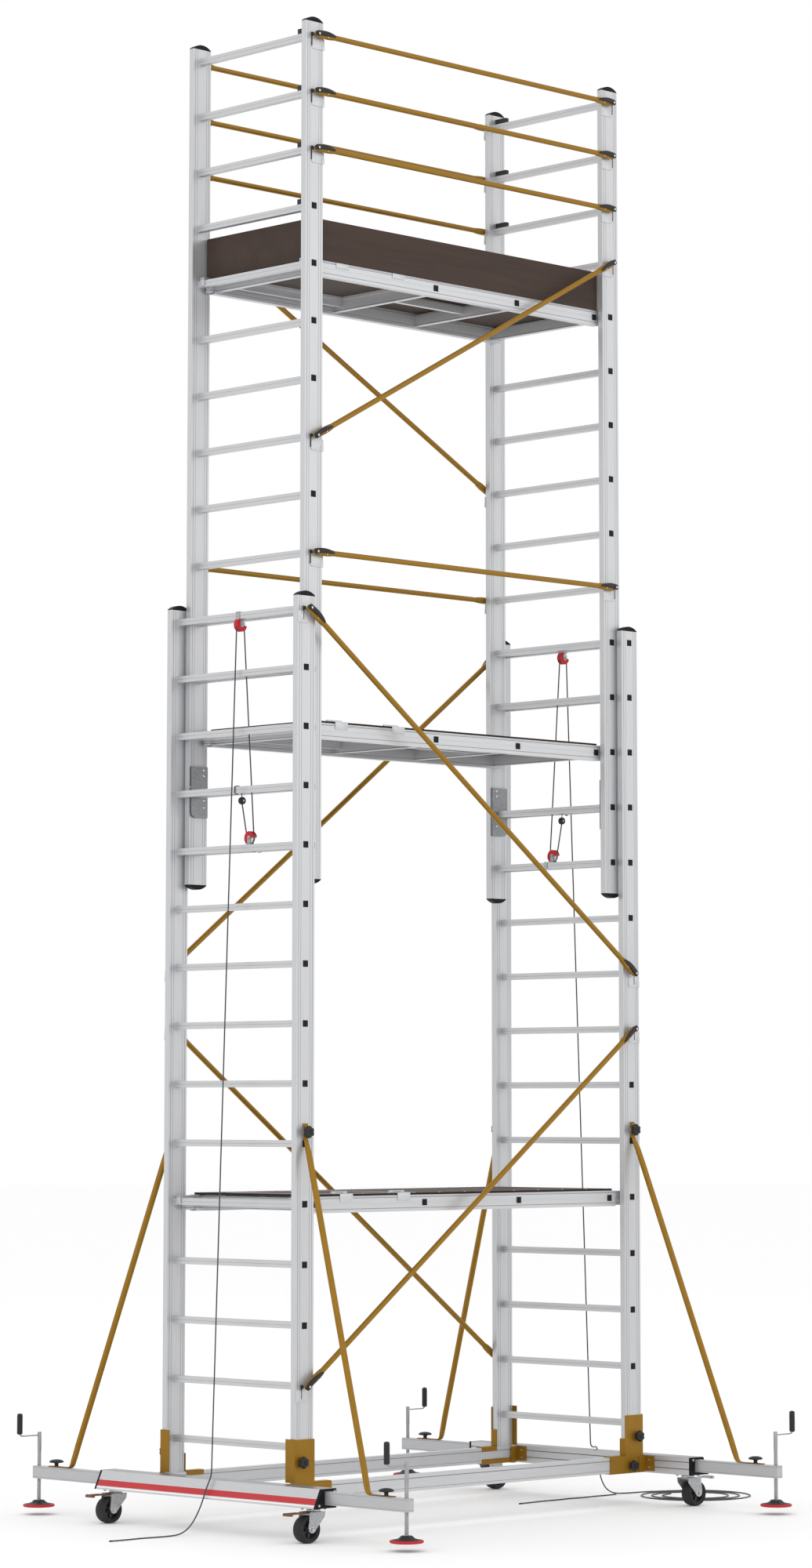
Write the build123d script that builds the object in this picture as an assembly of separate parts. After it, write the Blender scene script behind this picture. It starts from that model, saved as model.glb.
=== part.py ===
from build123d import *
import os
from math import atan2, degrees, hypot, radians, tan

os.makedirs("parts", exist_ok=True)

# Mobile tower scaffold, in millimetres. The origin is the centre of the base on the floor, +Z is up,
# X runs from ladder A (-X) to ladder B (+X), and -Y is the front. Most of it is symmetric about X = 0
# and Y = 0, so each piece is drawn once in the +X +Y quarter and mirrored.

# ---- driving dimensions: ladders ----
RUNG_PITCH = 280.0
FIRST_RUNG = 405.0            # height of rung 1 above the floor
RUNG = 32.0                   # square rung tube
WALL = 2.0                    # wall of rungs and stiles
LOWER_X = 1127.4              # rung line of the lower ladders
UPPER_X = 1044.3              # rung line of the sliding ladders
STILE_W = 114.6               # stile, across the ladder's face
STILE_T = 30.5                # stile, thickness
LOWER_HALF = 465.0            # outer face of the lower stiles
UPPER_HALF = 421.5            # outer face of the sliding stiles
LOWER_RUNGS = range(1, 16)
UPPER_RUNGS = range(11, 26)
LOWER_TOP = 4385.0
UPPER_FOOT = 3048.0
UPPER_TOP = 7189.0
PLUG = 30.0                   # square plug in each rung end
CAP_RISE = 24.0               # domed cap on a stile end

# ---- base ----
BEAM_IN = 1212.0              # inner face of an end beam
BEAM_TOP_OUT = 1305.0
BEAM_OUT = 1345.0
BEAM_LOW = 158.0
BEAM_TOP = 245.0
BEAM_HALF = 760.0
END_CAP = 13.0
SIDE_IN = 427.0               # side beam, inner face
SIDE_LOW = 165.0
SIDE_TOP = 243.0
PLATE = 5.0                   # folded bracket steel
ARM_X = 1263.0                # outrigger centre line
ARM_W = 40.0
ARM_LOW = 174.0
ARM_TOP = 234.0
ARM_INNER_END = 120.0
ARM_OUTER_END = 1309.0
ARM_SLIDE = 1.0               # sliding clearance of an outrigger in its beam
JACK_Y = 1284.0
SCREW_D = 20.0
CRANK_PIN_D = 6.0
FIT = 0.05                    # radial running clearance
PAD_D = 155.0
PAD_LOW = 37.0
SWIVEL_X = 1278.5
CASTOR_Y = 692.0
AXLE_X = 1322.0
WHEEL_D = 125.0
WHEEL_W = 64.0
FORK_HALF = 38.0              # outer face of a fork leg, from the wheel's middle
LEG_T = 3.5
AXLE_D = 12.0
PEDAL_X = 1303.0
PEDAL_Z = 137.0
STAY_D = 30.0
STAY_TOP = (1127.4, 491.6, 1860.0)
STAY_FOOT = (1263.0, 1032.5, 250.0)

# ---- platforms, toe boards and braces ----
TOP_LEVEL = 21
MIDDLE_LEVEL = 13
LOW_LEVEL = 5
RAIL_W = 38.0
RAIL_DOWN = 45.0              # rail, below the rung's centre
RAIL_UP = 32.0                # rail, above the rung's centre
BOARD = 10.0
HINGE_INSET = 45.0            # trapdoor hinge line, in from the board's edge
HINGE_RISE = 49.5             # trapdoor hinge line, above the rung's centre
HATCH_DEEP = 603.0
HINGES_AT = (-815.0, -435.0)
BRACE_D = 26.0
UPPER_BRACE_Y = 440.0
LOWER_BRACE_Y = 487.0
BRACE_GAP = 40.0              # from the hook's pin to the end of the brace tube
GUARD_RUNGS = (25, 24, 23, 16)
ROPE_D = 7.0
SHEAVE_R = 24.0               # radius of the rope's centre line on a sheave
TOP_SHEAVE_Z = 4281.0
LIFT_SHEAVE_X = 1085.0
LIFT_SHEAVE_Y = 33.0          # off centre, towards the back on ladder B and the front on ladder A
LIFT_SHEAVE_Z = 3255.0

CORNERS = (("a_front", -1, -1), ("a_back", -1, 1), ("b_front", 1, -1), ("b_back", 1, 1))


# ---- helpers ----
def rung_z(number):
    """Height of a rung's centre."""
    return FIRST_RUNG + RUNG_PITCH * (number - 1)


def block(x, y, z):
    """A box from three (low, high) pairs."""
    size = [b - a for a, b in (x, y, z)]
    return Pos(sum(x) / 2, sum(y) / 2, sum(z) / 2) * Box(*size)


def tube_block(x, y, z, along, wall):
    """A square tube that is open along one axis."""
    inner = [(a + wall, b - wall) for a, b in (x, y, z)]
    inner["xyz".index(along)] = (x, y, z)["xyz".index(along)]
    return block(x, y, z) - block(*inner)


def rod(start, end, diameter):
    """A round bar between two points."""
    run = Vector(*end) - Vector(*start)
    plane = Plane(origin=start, z_dir=run)
    return extrude(plane * Circle(diameter / 2), run.length)


def pipe(start, end, diameter, wall):
    """A round tube between two points."""
    return rod(start, end, diameter) - rod(start, end, diameter - 2 * wall)


def placed(shape, side, end):
    """A piece of the +X +Y quarter, moved to the quarter with those signs."""
    if side < 0:
        shape = mirror(shape, about=Plane.YZ)
    if end < 0:
        shape = mirror(shape, about=Plane.XZ)
    return shape


def four(shapes):
    """Copies of some pieces in all four quarters."""
    return [placed(s, side, end) for _, side, end in CORNERS for s in shapes]


def both_ends(shapes):
    """Pieces for +X and their mirror images at -X."""
    return shapes + [mirror(s, about=Plane.YZ) for s in shapes]


def save(name, shapes):
    """Writes one node, with each piece a solid of its own."""
    solids = [solid for shape in shapes for solid in shape.solids()]
    export_step(Compound(children=solids), "parts/" + name + ".step")


# ---- ladders ----
def stile(line_x, outer, low, high):
    x = (line_x - STILE_W / 2, line_x + STILE_W / 2)
    return tube_block(x, (outer - STILE_T, outer), (low, high), "z", WALL)


def ladder_rungs(line_x, outer, numbers):
    inner = outer - STILE_T
    x = (line_x - RUNG / 2, line_x + RUNG / 2)
    rungs = []
    for number in numbers:
        z = (rung_z(number) - RUNG / 2, rung_z(number) + RUNG / 2)
        rungs.append(tube_block(x, (-inner, inner), z, "y", WALL))
    return both_ends(rungs)


def domed_cap(line_x, outer, z, rise):
    """A stile end cap, arched across the stile's width. A negative rise points down."""
    low, high = line_x - STILE_W / 2, line_x + STILE_W / 2
    shoulder = z + rise / 8
    arch = ThreePointArc((high, shoulder), (line_x, z + rise), (low, shoulder))
    outline = Polyline((low, shoulder), (low, z), (high, z), (high, shoulder)) + arch
    return Pos(0, outer, 0) * extrude(Plane.XZ * make_face(outline), STILE_T)


def rung_plugs(line_x, outer, numbers, hooked):
    """Square plugs on the stiles' outer faces, apart from rung ends that hold a brace hook."""
    plugs = []
    for _, side, end in CORNERS:
        for number in numbers:
            if (side, end, number) in hooked:
                continue
            z = rung_z(number)
            x = (line_x - PLUG / 2, line_x + PLUG / 2)
            plug = block(x, (outer, outer + 2), (z - PLUG / 2, z + PLUG / 2))
            plugs.append(placed(plug, side, end))
    return plugs


# ---- braces and their snap hooks ----
def brace_runs():
    """Each brace: its line, its half width, (rung at A, rung at B) and the side it is on."""
    upper = [(UPPER_X, UPPER_BRACE_Y, (n, n), end) for n in GUARD_RUNGS for end in (-1, 1)]
    upper.append((UPPER_X, UPPER_BRACE_Y, (18, 22), -1))
    upper.append((UPPER_X, UPPER_BRACE_Y, (22, 18), 1))
    lower = []
    for a, b in ((15, 9), (2, 8)):
        lower.append((LOWER_X, LOWER_BRACE_Y, (a, b), -1))
        lower.append((LOWER_X, LOWER_BRACE_Y, (b, a), 1))
    return upper, lower


def hooked_ends(runs):
    """The rung ends that braces hook on, as (side, end, rung)."""
    return {(side, end, pair[0 if side < 0 else 1]) for _, _, pair, end in runs for side in (-1, 1)}


def brace_tube(run):
    line_x, half, (rung_a, rung_b), end = run
    start = Vector(-line_x, end * half, rung_z(rung_a))
    stop = Vector(line_x, end * half, rung_z(rung_b))
    step = (stop - start).normalized() * BRACE_GAP
    return pipe(tuple(start + step), tuple(stop - step), BRACE_D, 2.0)


def snap_hook(run, side):
    """The hook at one end of a brace: a ring round its pin, a shank into the tube and a long lever."""
    line_x, half, pair, end = run
    here = Vector(side * line_x, end * half, rung_z(pair[0 if side < 0 else 1]))
    there = Vector(-side * line_x, end * half, rung_z(pair[1 if side < 0 else 0]))
    plane = Plane(origin=here, x_dir=there - here, z_dir=Vector(0, end, 0))
    ring = plane * (Cylinder(13, 14) - Cylinder(5.3, 14))
    shank = plane * (Pos(BRACE_GAP / 2 + 5.5, 0, 0) * Box(BRACE_GAP - 11, 18, 12))
    outline = Polyline((-12, 7), (32, 7), (38, 14), (98, 14), (98, 16), (70, 20), (-12, 20), close=True)
    lever = Pos(0, 7, 0) * extrude(Plane.XZ * make_face(outline), 14) - Cylinder(5.3, 60)
    return ring + shank + plane * lever


def hook_bracket(run, side, outer):
    """The aluminium band on the stile and the pin that the hook snaps on."""
    line_x, half, pair, end = run
    z = rung_z(pair[0 if side < 0 else 1])
    if outer == UPPER_HALF:
        x = (line_x - STILE_W / 2 - 5, line_x + 12)
    else:
        x = (line_x - 12, line_x + STILE_W / 2)
    band = block(x, (outer, outer + 3), (z - 70, z + 14))
    pin = rod((line_x, outer + 3, z), (line_x, half + 10, z), 10)
    return placed(band + pin, side, end)


def brace_hooks(runs, outer):
    pieces = []
    for run in runs:
        for side in (-1, 1):
            pieces.append(snap_hook(run, side))
            pieces.append(hook_bracket(run, side, outer))
    return pieces


# ---- platforms ----
def crossbars(level):
    if level == LOW_LEVEL:
        return (-1010.0, -294.0, 357.0, 1010.0)
    return (-970.0, -175.0, 400.0, 970.0)


def rail_outer(level):
    return 418.0 if level == LOW_LEVEL else 378.0


def rail_end(level):
    return 1055.0 if level == LOW_LEVEL else 1000.0


def board_half(level):
    return rail_outer(level) - 6


def hinge_y(level):
    return HINGE_INSET - board_half(level)


def hatch_x(level):
    """The trapdoor's opening along X, between the first two crossbars."""
    first, second = crossbars(level)[:2]
    return (first + 17, second - 17)


def platform_rails(level):
    z = rung_z(level)
    outer, end = rail_outer(level), rail_end(level)
    rail = tube_block((-end, end), (outer - RAIL_W, outer), (z - RAIL_DOWN, z + RAIL_UP), "x", 2.5)
    rail -= block((-end, end), (outer - 1.2, outer), (z - 8, z - 2))
    return [rail, mirror(rail, about=Plane.XZ)]


def platform_bars(level):
    z = rung_z(level)
    inner = rail_outer(level) - RAIL_W
    bars = [tube_block((x - 15, x + 15), (-inner, inner), (z - 34, z + 26), "y", 2.0)
            for x in crossbars(level)]
    low, high = crossbars(level)[0] + 15, crossbars(level)[1] - 15
    far = hinge_y(level) + HATCH_DEEP
    bars.append(tube_block((low, high), (far + 2, far + 27), (z - 14, z + 26), "x", 2.0))
    middle = (crossbars(level)[1] + 15, crossbars(level)[2] - 15)
    bars.append(tube_block(middle, (-13, 13), (z - 14, z + 26), "x", 2.0))
    return bars


def claw_hooks(level):
    """The claws that hook a platform over its rungs."""
    z = rung_z(level)
    outer, end = rail_outer(level), rail_end(level)
    line_x = LOWER_X if level == LOW_LEVEL else UPPER_X
    lip = line_x + RUNG / 2 + 1
    y = (outer - 34, outer - 6)
    claw = block((end, lip + 6.5), y, (z + RUNG / 2 + 0.5, z + 30))
    claw += block((lip, lip + 6.5), y, (z - 12, z + 30))
    claw += block((end, line_x - RUNG / 2 - 1), y, (z - 40, z + 30))
    return four([claw])


def hinge_plates(level):
    """The fixed hinge leaves, each with two knuckles and the hinge pin."""
    z, y = rung_z(level), hinge_y(level)
    plates = []
    for x in HINGES_AT:
        leaf = block((x - 50, x + 50), (y - 40, y - 0.6), (z + 42, z + 44.5))
        for low in (x - 50, x + 25):
            leaf += rod((low, y, z + HINGE_RISE), (low + 25, y, z + HINGE_RISE), 9)
            leaf += block((low, low + 25), (y - 4.5, y - 0.6), (z + 44, z + HINGE_RISE))
        leaf += rod((x - 50, y, z + HINGE_RISE), (x + 50, y, z + HINGE_RISE), 4)
        plates.append(leaf)
    return plates


def platform_frame(level):
    return platform_rails(level) + platform_bars(level) + claw_hooks(level) + hinge_plates(level)


def platform_deck(level):
    """The strips of board round the trapdoor's opening, and the plain board beside them."""
    z = (rung_z(level) + RAIL_UP, rung_z(level) + RAIL_UP + BOARD)
    half, end = board_half(level), rail_end(level) - 20
    seam = crossbars(level)[1]
    first, second = hatch_x(level)
    near, far = hinge_y(level), hinge_y(level) + HATCH_DEEP
    return [block((-end, seam), (-half, near), z), block((-end, seam), (far, half), z),
            block((-end, first), (near, far), z), block((second, seam), (near, far), z),
            block((seam, end), (-half, half), z)]


def trapdoor(level):
    """The hatch board, its edge frame underneath and its hinge leaves."""
    z, y = rung_z(level), hinge_y(level)
    x0, x1 = hatch_x(level)
    x = (x0 + 2, x1 - 2)
    deep = (y + 2, y + HATCH_DEEP - 2)
    board = block(x, deep, (z + RAIL_UP, z + RAIL_UP + BOARD))
    frame = block(x, deep, (z + 18, z + RAIL_UP))
    frame -= block((x[0] + 15, x[1] - 15), (deep[0] + 15, deep[1] - 15), (z + 18, z + RAIL_UP))
    pieces = [board, frame]
    for at in HINGES_AT:
        leaf = block((at - 24.5, at + 24.5), (y + 0.6, y + 36), (z + 42, z + 44.5))
        leaf += rod((at - 24.5, y, z + HINGE_RISE), (at + 24.5, y, z + HINGE_RISE), 9)
        leaf += block((at - 24.5, at + 24.5), (y + 0.6, y + 4.5), (z + 44, z + HINGE_RISE))
        leaf -= rod((at - 25, y, z + HINGE_RISE), (at + 25, y, z + HINGE_RISE), 4 + 2 * FIT)
        pieces.append(leaf)
    return pieces


def toe_boards():
    """Boards round the top platform, with channels at their corners."""
    low, high = rung_z(TOP_LEVEL) + 33, rung_z(TOP_LEVEL) + 231
    long_board = block((-998, 998), (374, 384), (low, high))
    end_board = block((1004, 1014), (-383, 383), (low, high))
    channel = block((985, 998), (384, 387), (low, high)) + block((998, 1001), (340, 387), (low, high))
    return ([long_board, mirror(long_board, about=Plane.XZ)] + both_ends([end_board])
            + four([channel]))


# ---- base ----
def beam_outline(inset):
    """The end beam's section, looking along Y, shrunk by a wall thickness."""
    lean = (BEAM_OUT - BEAM_TOP_OUT) / (BEAM_TOP - BEAM_LOW)
    slope_inset = inset * hypot(1, lean)
    points = [(BEAM_IN + inset, BEAM_LOW + inset), (BEAM_IN + inset, BEAM_TOP - inset),
              (BEAM_TOP_OUT - slope_inset + lean * inset, BEAM_TOP - inset),
              (BEAM_OUT - slope_inset - lean * inset, BEAM_LOW + inset)]
    return Polyline(*points, close=True)


def arm_space(clearance, y):
    """The space of an outrigger tube with a clearance round it."""
    x = (ARM_X - ARM_W / 2 - clearance, ARM_X + ARM_W / 2 + clearance)
    return block(x, y, (ARM_LOW - clearance, ARM_TOP + clearance))


def beam_length(inset, low, high):
    """A length of the end beam's section from Y = low to Y = high."""
    profile = Plane.XZ * make_face(beam_outline(inset))
    return Pos(0, high, 0) * extrude(profile, high - low)


def end_beam():
    """A three-chambered extrusion, open at its ends, with two grooves in its inner face."""
    beam = beam_length(0, -BEAM_HALF, BEAM_HALF)
    inside = beam_length(4, -BEAM_HALF, BEAM_HALF)
    y = (-BEAM_HALF, BEAM_HALF)
    for wall_x in (ARM_X - ARM_W / 2 - ARM_SLIDE - 4, ARM_X + ARM_W / 2 + ARM_SLIDE):
        inside -= block((wall_x, wall_x + 4), y, (BEAM_LOW, BEAM_TOP))
    floor_x = (ARM_X - ARM_W / 2 - ARM_SLIDE, ARM_X + ARM_W / 2 + ARM_SLIDE)
    inside -= block(floor_x, y, (ARM_LOW - ARM_SLIDE - 4, ARM_LOW - ARM_SLIDE))
    inside -= block(floor_x, y, (ARM_TOP + ARM_SLIDE, BEAM_TOP))
    beam -= inside
    for z in (185, 219):
        beam -= block((BEAM_IN, BEAM_IN + 1.5), y, (z, z + 4))
    return beam


def beam_cap():
    """The plastic plate on a beam's end, with the outrigger's opening."""
    cap = beam_length(0, BEAM_HALF, BEAM_HALF + END_CAP)
    return cap - arm_space(ARM_SLIDE, (BEAM_HALF, BEAM_HALF + END_CAP))


def side_beam():
    beam = tube_block((-BEAM_IN, BEAM_IN), (SIDE_IN, LOWER_HALF), (SIDE_LOW, SIDE_TOP), "x", 3.0)
    return beam - block((-BEAM_IN, BEAM_IN), (LOWER_HALF - 1.5, LOWER_HALF), (224, 227))


def corner_bracket():
    """Folded plate that joins a ladder's foot to the side beam, with flanges round the stile."""
    outer = (LOWER_HALF, LOWER_HALF + PLATE)
    bracket = block((1064, 1192), outer, (243, 444))
    bracket += block((1187, 1192), (408, LOWER_HALF + PLATE), (247, 446))
    bracket += block((1064, 1069), (430, LOWER_HALF + PLATE), (247, 330))
    bracket += block((954, 1203), outer, (160, 245))
    bracket += block((954, 1203), (SIDE_IN - 4, LOWER_HALF), (160, SIDE_LOW))
    bracket += block((954, 1203), (SIDE_IN - 4, SIDE_IN), (160, 185))
    bracket += block((954, 1060), (SIDE_IN - 4, LOWER_HALF), (SIDE_TOP, 248))
    bracket += block((954, 1060), (SIDE_IN - 4, SIDE_IN), (224, 248))
    return bracket


def angle_brackets():
    """The two riveted angles at each joint of side beam and end beam."""
    z = (167, 240)
    near = block((1208, BEAM_IN), (470, 530), z) + block((1160, BEAM_IN), (470, 474), z)
    far = block((1208, BEAM_IN), (360, 422), z) + block((1160, BEAM_IN), (418, 422), z)
    return [near, far]


def hand_knob(x, y, z, diameter=55.0, height=30.0):
    """A six-lobed clamping knob with its axis along +Y."""
    plane = Plane(origin=(x, y, z), x_dir=(1, 0, 0), z_dir=(0, 1, 0))
    lobes = Cylinder(diameter / 2 - 7, height, align=(Align.CENTER, Align.CENTER, Align.MIN))
    for lobe in PolarLocations(diameter / 2 - 8, 6):
        lobes += lobe * Cylinder(8, height, align=(Align.CENTER, Align.CENTER, Align.MIN))
    return plane * lobes


def castor_plate():
    """The castor's fixed top plate and its four bolt heads."""
    plate = block((SWIVEL_X - 46, SWIVEL_X + 46), (CASTOR_Y - 46, CASTOR_Y + 46),
                  (BEAM_LOW - 3, BEAM_LOW))
    pieces = [plate]
    for dx in (-37, 37):
        for dy in (-37, 37):
            head = Cylinder(6.0, 6, align=(Align.CENTER, Align.CENTER, Align.MAX))
            pieces.append(Pos(SWIVEL_X + dx, CASTOR_Y + dy, BEAM_LOW - 3) * head)
    return pieces


def rivets():
    """Rivet heads on the angles and screws on the beam caps."""
    pieces = []
    for y in (500, 390):
        for z in (185, 222):
            pieces.append(rod((1204.5, y, z), (1208, y, z), 10))
    out = BEAM_HALF + END_CAP
    for x, z in ((1226, 232), (1322, 172)):
        pieces.append(rod((x, out, z), (x, out + 3, z), 11))
    return pieces


# ---- castors ----
def castor_fork():
    """Swivel head, crown and two tapered legs, with the axle, its nuts and the pedal's pin."""
    head = Pos(SWIVEL_X, CASTOR_Y, 141) * Cylinder(30, 13.7, align=(Align.CENTER, Align.CENTER, Align.MIN))
    fork = head + block((1250, 1296), (CASTOR_Y - FORK_HALF, CASTOR_Y + FORK_HALF), (137, 141))
    axle_z = WHEEL_D / 2
    outline = Polyline((1240, 141), (1334, 141), (1344, 72), (1338, 54), (1324, 46), (1306, 50),
                       (1290, 70), (1244, 118), close=True)
    leg = Plane.XZ * make_face(outline)
    for y in (CASTOR_Y + FORK_HALF, CASTOR_Y - FORK_HALF + LEG_T):
        fork += Pos(0, y, 0) * extrude(leg, LEG_T)
    low, high = CASTOR_Y - FORK_HALF, CASTOR_Y + FORK_HALF
    fork -= rod((AXLE_X, low, axle_z), (AXLE_X, high, axle_z), AXLE_D + 0.04)
    axle = rod((AXLE_X, low, axle_z), (AXLE_X, high, axle_z), AXLE_D)
    pin = rod((PEDAL_X, low + LEG_T, PEDAL_Z), (PEDAL_X, high - LEG_T, PEDAL_Z), 4)
    nuts = [rod((AXLE_X, y, axle_z), (AXLE_X, y + 6, axle_z), 19) for y in (low - 6, high)]
    return [fork, axle, pin] + nuts


def castor_wheel():
    """Tyre and hub in one, dished on both faces, with a bore for the axle."""
    r, w = WHEEL_D / 2, WHEEL_W / 2
    profile = Polyline((AXLE_D / 2 + FIT, -w + 1), (16, -w + 1), (20, -w + 9), (44, -w + 9), (48, -w + 2),
                       (r - 6, -w + 2), (r, -w + 10), (r, w - 10), (r - 6, w - 2), (48, w - 2),
                       (44, w - 9), (20, w - 9), (16, w - 1), (AXLE_D / 2 + FIT, w - 1), close=True)
    plane = Plane(origin=(AXLE_X, CASTOR_Y, r), x_dir=(1, 0, 0), z_dir=(0, 0, 1))
    axis = Axis((AXLE_X, CASTOR_Y, r), (0, 1, 0))
    return revolve(plane * make_face(profile), axis, 360)


def brake_pedal():
    """A foot pedal over the wheel, on a barrel between the fork legs."""
    reach = FORK_HALF - LEG_T - 0.6
    barrel = rod((PEDAL_X, CASTOR_Y - reach, PEDAL_Z), (PEDAL_X, CASTOR_Y + reach, PEDAL_Z), 8)
    pedal = barrel + block((PEDAL_X, 1436), (CASTOR_Y - 20, CASTOR_Y + 20), (134.5, 139.5))
    pedal += block((1431, 1447), (CASTOR_Y - 26, CASTOR_Y + 26), (128, 139.5))
    bore = rod((PEDAL_X, CASTOR_Y - reach, PEDAL_Z), (PEDAL_X, CASTOR_Y + reach, PEDAL_Z), 4 + 2 * FIT)
    return pedal - bore


# ---- outriggers, jacks and stays ----
def outrigger():
    """Rectangular tube with a bush for the jack screw and a closing plate."""
    x = (ARM_X - ARM_W / 2, ARM_X + ARM_W / 2)
    y = (ARM_INNER_END, ARM_OUTER_END - 4)
    tube = tube_block(x, y, (ARM_LOW, ARM_TOP), "y", 3.0)
    tube += block(x, (ARM_OUTER_END - 4, ARM_OUTER_END), (ARM_LOW, ARM_TOP))
    tube += rod((ARM_X, JACK_Y, ARM_LOW), (ARM_X, JACK_Y, ARM_TOP), 32)
    return tube - rod((ARM_X, JACK_Y, ARM_LOW), (ARM_X, JACK_Y, ARM_TOP), SCREW_D + 2 * FIT)


def jack_foot():
    """Rubber pad, and the cone that holds the screw's lower end."""
    pad = Pos(ARM_X, JACK_Y, PAD_LOW) * Cylinder(PAD_D / 2, 10, align=(Align.CENTER, Align.CENTER, Align.MIN))
    pad = fillet(pad.edges().filter_by(GeomType.CIRCLE), 3.5)
    low = PAD_LOW + 10
    outline = Polyline((0, low), (60, low), (56, low + 4), (34, low + 9), (25, low + 22),
                       (SCREW_D / 2 + FIT, low + 22), (SCREW_D / 2 + FIT, low + 8), (0, low + 8), close=True)
    cone = revolve(Plane.XZ * make_face(outline), Axis.Z, 360)
    return [pad, Pos(ARM_X, JACK_Y, 0) * cone]


def jack_screw():
    """Spindle with its crank rod, and the grip that turns on the rod's upright end."""
    spindle = rod((ARM_X, JACK_Y, PAD_LOW + 18.3), (ARM_X, JACK_Y, 397), SCREW_D)
    reach = ARM_X + 125
    spindle += rod((ARM_X, JACK_Y, 381), (reach + 5, JACK_Y, 381), 7)
    spindle += rod((reach, JACK_Y, 381), (reach, JACK_Y, 494), CRANK_PIN_D)
    grip = rod((reach, JACK_Y, 390), (reach, JACK_Y, 490), 28)
    grip = fillet(grip.edges().filter_by(GeomType.CIRCLE), 5)
    bore = rod((reach, JACK_Y, 390), (reach, JACK_Y, 490), CRANK_PIN_D + 2 * FIT)
    return [spindle, grip - bore]


def stay():
    """Diagonal tube with a top tab, a foot strip on the outrigger and its mushroom knob."""
    top, foot = Vector(*STAY_TOP), Vector(*STAY_FOOT)
    run = (foot - top).normalized()
    tube = pipe(tuple(top + run * 45), tuple(foot - run * 12), STAY_D, 2.0)
    tab_z = (STAY_TOP[2] - 48, STAY_TOP[2] + 40)
    tab = block((STAY_TOP[0] - 13, STAY_TOP[0] + 13), (468, 474), tab_z)
    tab -= rod((STAY_TOP[0], 460, STAY_TOP[2]), (STAY_TOP[0], 480, STAY_TOP[2]), 10 + 2 * FIT)
    neck = rod((STAY_TOP[0], 471, STAY_TOP[2] - 40), tuple(top + run * 60), 14)
    strip = block((ARM_X - 15, ARM_X + 15), (1012, 1202), (ARM_TOP + 0.3, ARM_TOP + 4.3))
    lug = block((ARM_X - 11, ARM_X + 11), (1016, 1048), (ARM_TOP + 4.3, ARM_TOP + 26))
    knob = Pos(ARM_X, 1153, ARM_TOP + 4.3) * Cylinder(11, 12, align=(Align.CENTER, Align.CENTER, Align.MIN))
    dome = Pos(ARM_X, 1153, ARM_TOP + 16.3) * Cylinder(36, 20, align=(Align.CENTER, Align.CENTER, Align.MIN))
    dome = fillet(dome.faces().sort_by(Axis.Z)[-1].edges(), 14)
    return [tube + tab + neck + lug + strip, knob + dome]


def stay_pivot():
    """The bolt and knob that hold a stay's tab on the stile."""
    x, z = STAY_TOP[0], STAY_TOP[2]
    bolt = rod((x, LOWER_HALF, z), (x, 476, z), 10)
    collar = rod((x, LOWER_HALF, z), (x, 467.7, z), 20)
    return bolt + collar + hand_knob(x, 474.3, z, 58, 30)


# ---- hoist: each ladder's set is the other's turned half round ----
def both_ladders(shapes):
    """Pieces for ladder B, and the same turned half a turn for ladder A."""
    return shapes + [Rot(0, 0, 180) * s for s in shapes]


def sheave():
    """A grooved wheel, 15 wide, with its axis along Y."""
    wheel = rod((0, -7.5, 0), (0, 7.5, 0), 2 * (SHEAVE_R + 2.8))
    wheel -= rod((0, -5, 0), (0, 5, 0), 2 * (SHEAVE_R + 2.8)) - rod((0, -5, 0), (0, 5, 0), 2 * (SHEAVE_R - 3.6))
    return wheel - rod((0, -7.5, 0), (0, 7.5, 0), 8 + 2 * FIT)


def cheeks(low, high):
    """The two side plates of a pulley block, joined by its axle."""
    plates = block((-14, 14), (8.5, 11), (low, high)) + block((-14, 14), (-11, -8.5), (low, high))
    return plates + rod((0, -11, 0), (0, 11, 0), 8)


def rung_strap(line_x, z, width):
    """A strap over a rung, open below."""
    half = RUNG / 2
    strap = block((line_x - half - 3, line_x + half + 3), (-width, width), (z - half, z + half + 3))
    return strap - block((line_x - half, line_x + half), (-width, width), (z - half, z + half))


def top_block():
    """Fixed pulley under rung 15 of a lower ladder, and the rope's anchor under rung 12."""
    spot = Pos(LOWER_X, 0, TOP_SHEAVE_Z)
    under = rung_z(15) - RUNG / 2 - TOP_SHEAVE_Z
    anchor = block((1089, 1109.5), (-26, -2), (3413, 3463)) + block((1104, 1109.5), (-24, -4), (3463, 3500))
    return [spot * sheave(), spot * cheeks(-28, under), rung_strap(LOWER_X, rung_z(15), 11), anchor]


def lift_block():
    """Moving pulley in the gap between the ladders, on a bracket over rung 11 of the sliding one."""
    spot = Pos(LIFT_SHEAVE_X, LIFT_SHEAVE_Y, LIFT_SHEAVE_Z) * Rot(0, 0, 90)
    over = rung_z(11)
    bracket = Pos(0, LIFT_SHEAVE_Y, 0) * rung_strap(UPPER_X, over, 11)
    y = (LIFT_SHEAVE_Y - 11, LIFT_SHEAVE_Y + 11)
    bracket += block((UPPER_X + RUNG / 2, LIFT_SHEAVE_X + 11), y, (over - 13, over + RUNG / 2 + 3))
    bracket += spot * cheeks(over + RUNG / 2 + 3 - LIFT_SHEAVE_Z, 30)
    return [spot * sheave(), bracket]


def lift_strands():
    """The rope's strands between the fixed pulley, the moving pulley and the anchor."""
    far, near = LIFT_SHEAVE_Y + SHEAVE_R, LIFT_SHEAVE_Y - SHEAVE_R
    down = rod((LOWER_X - SHEAVE_R, 0, TOP_SHEAVE_Z), (LIFT_SHEAVE_X, far, LIFT_SHEAVE_Z), ROPE_D - 0.6)
    back = rod((LIFT_SHEAVE_X, near, LIFT_SHEAVE_Z), (1097.5, -14, 3409.5), ROPE_D - 0.6)
    return [down, back]


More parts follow.
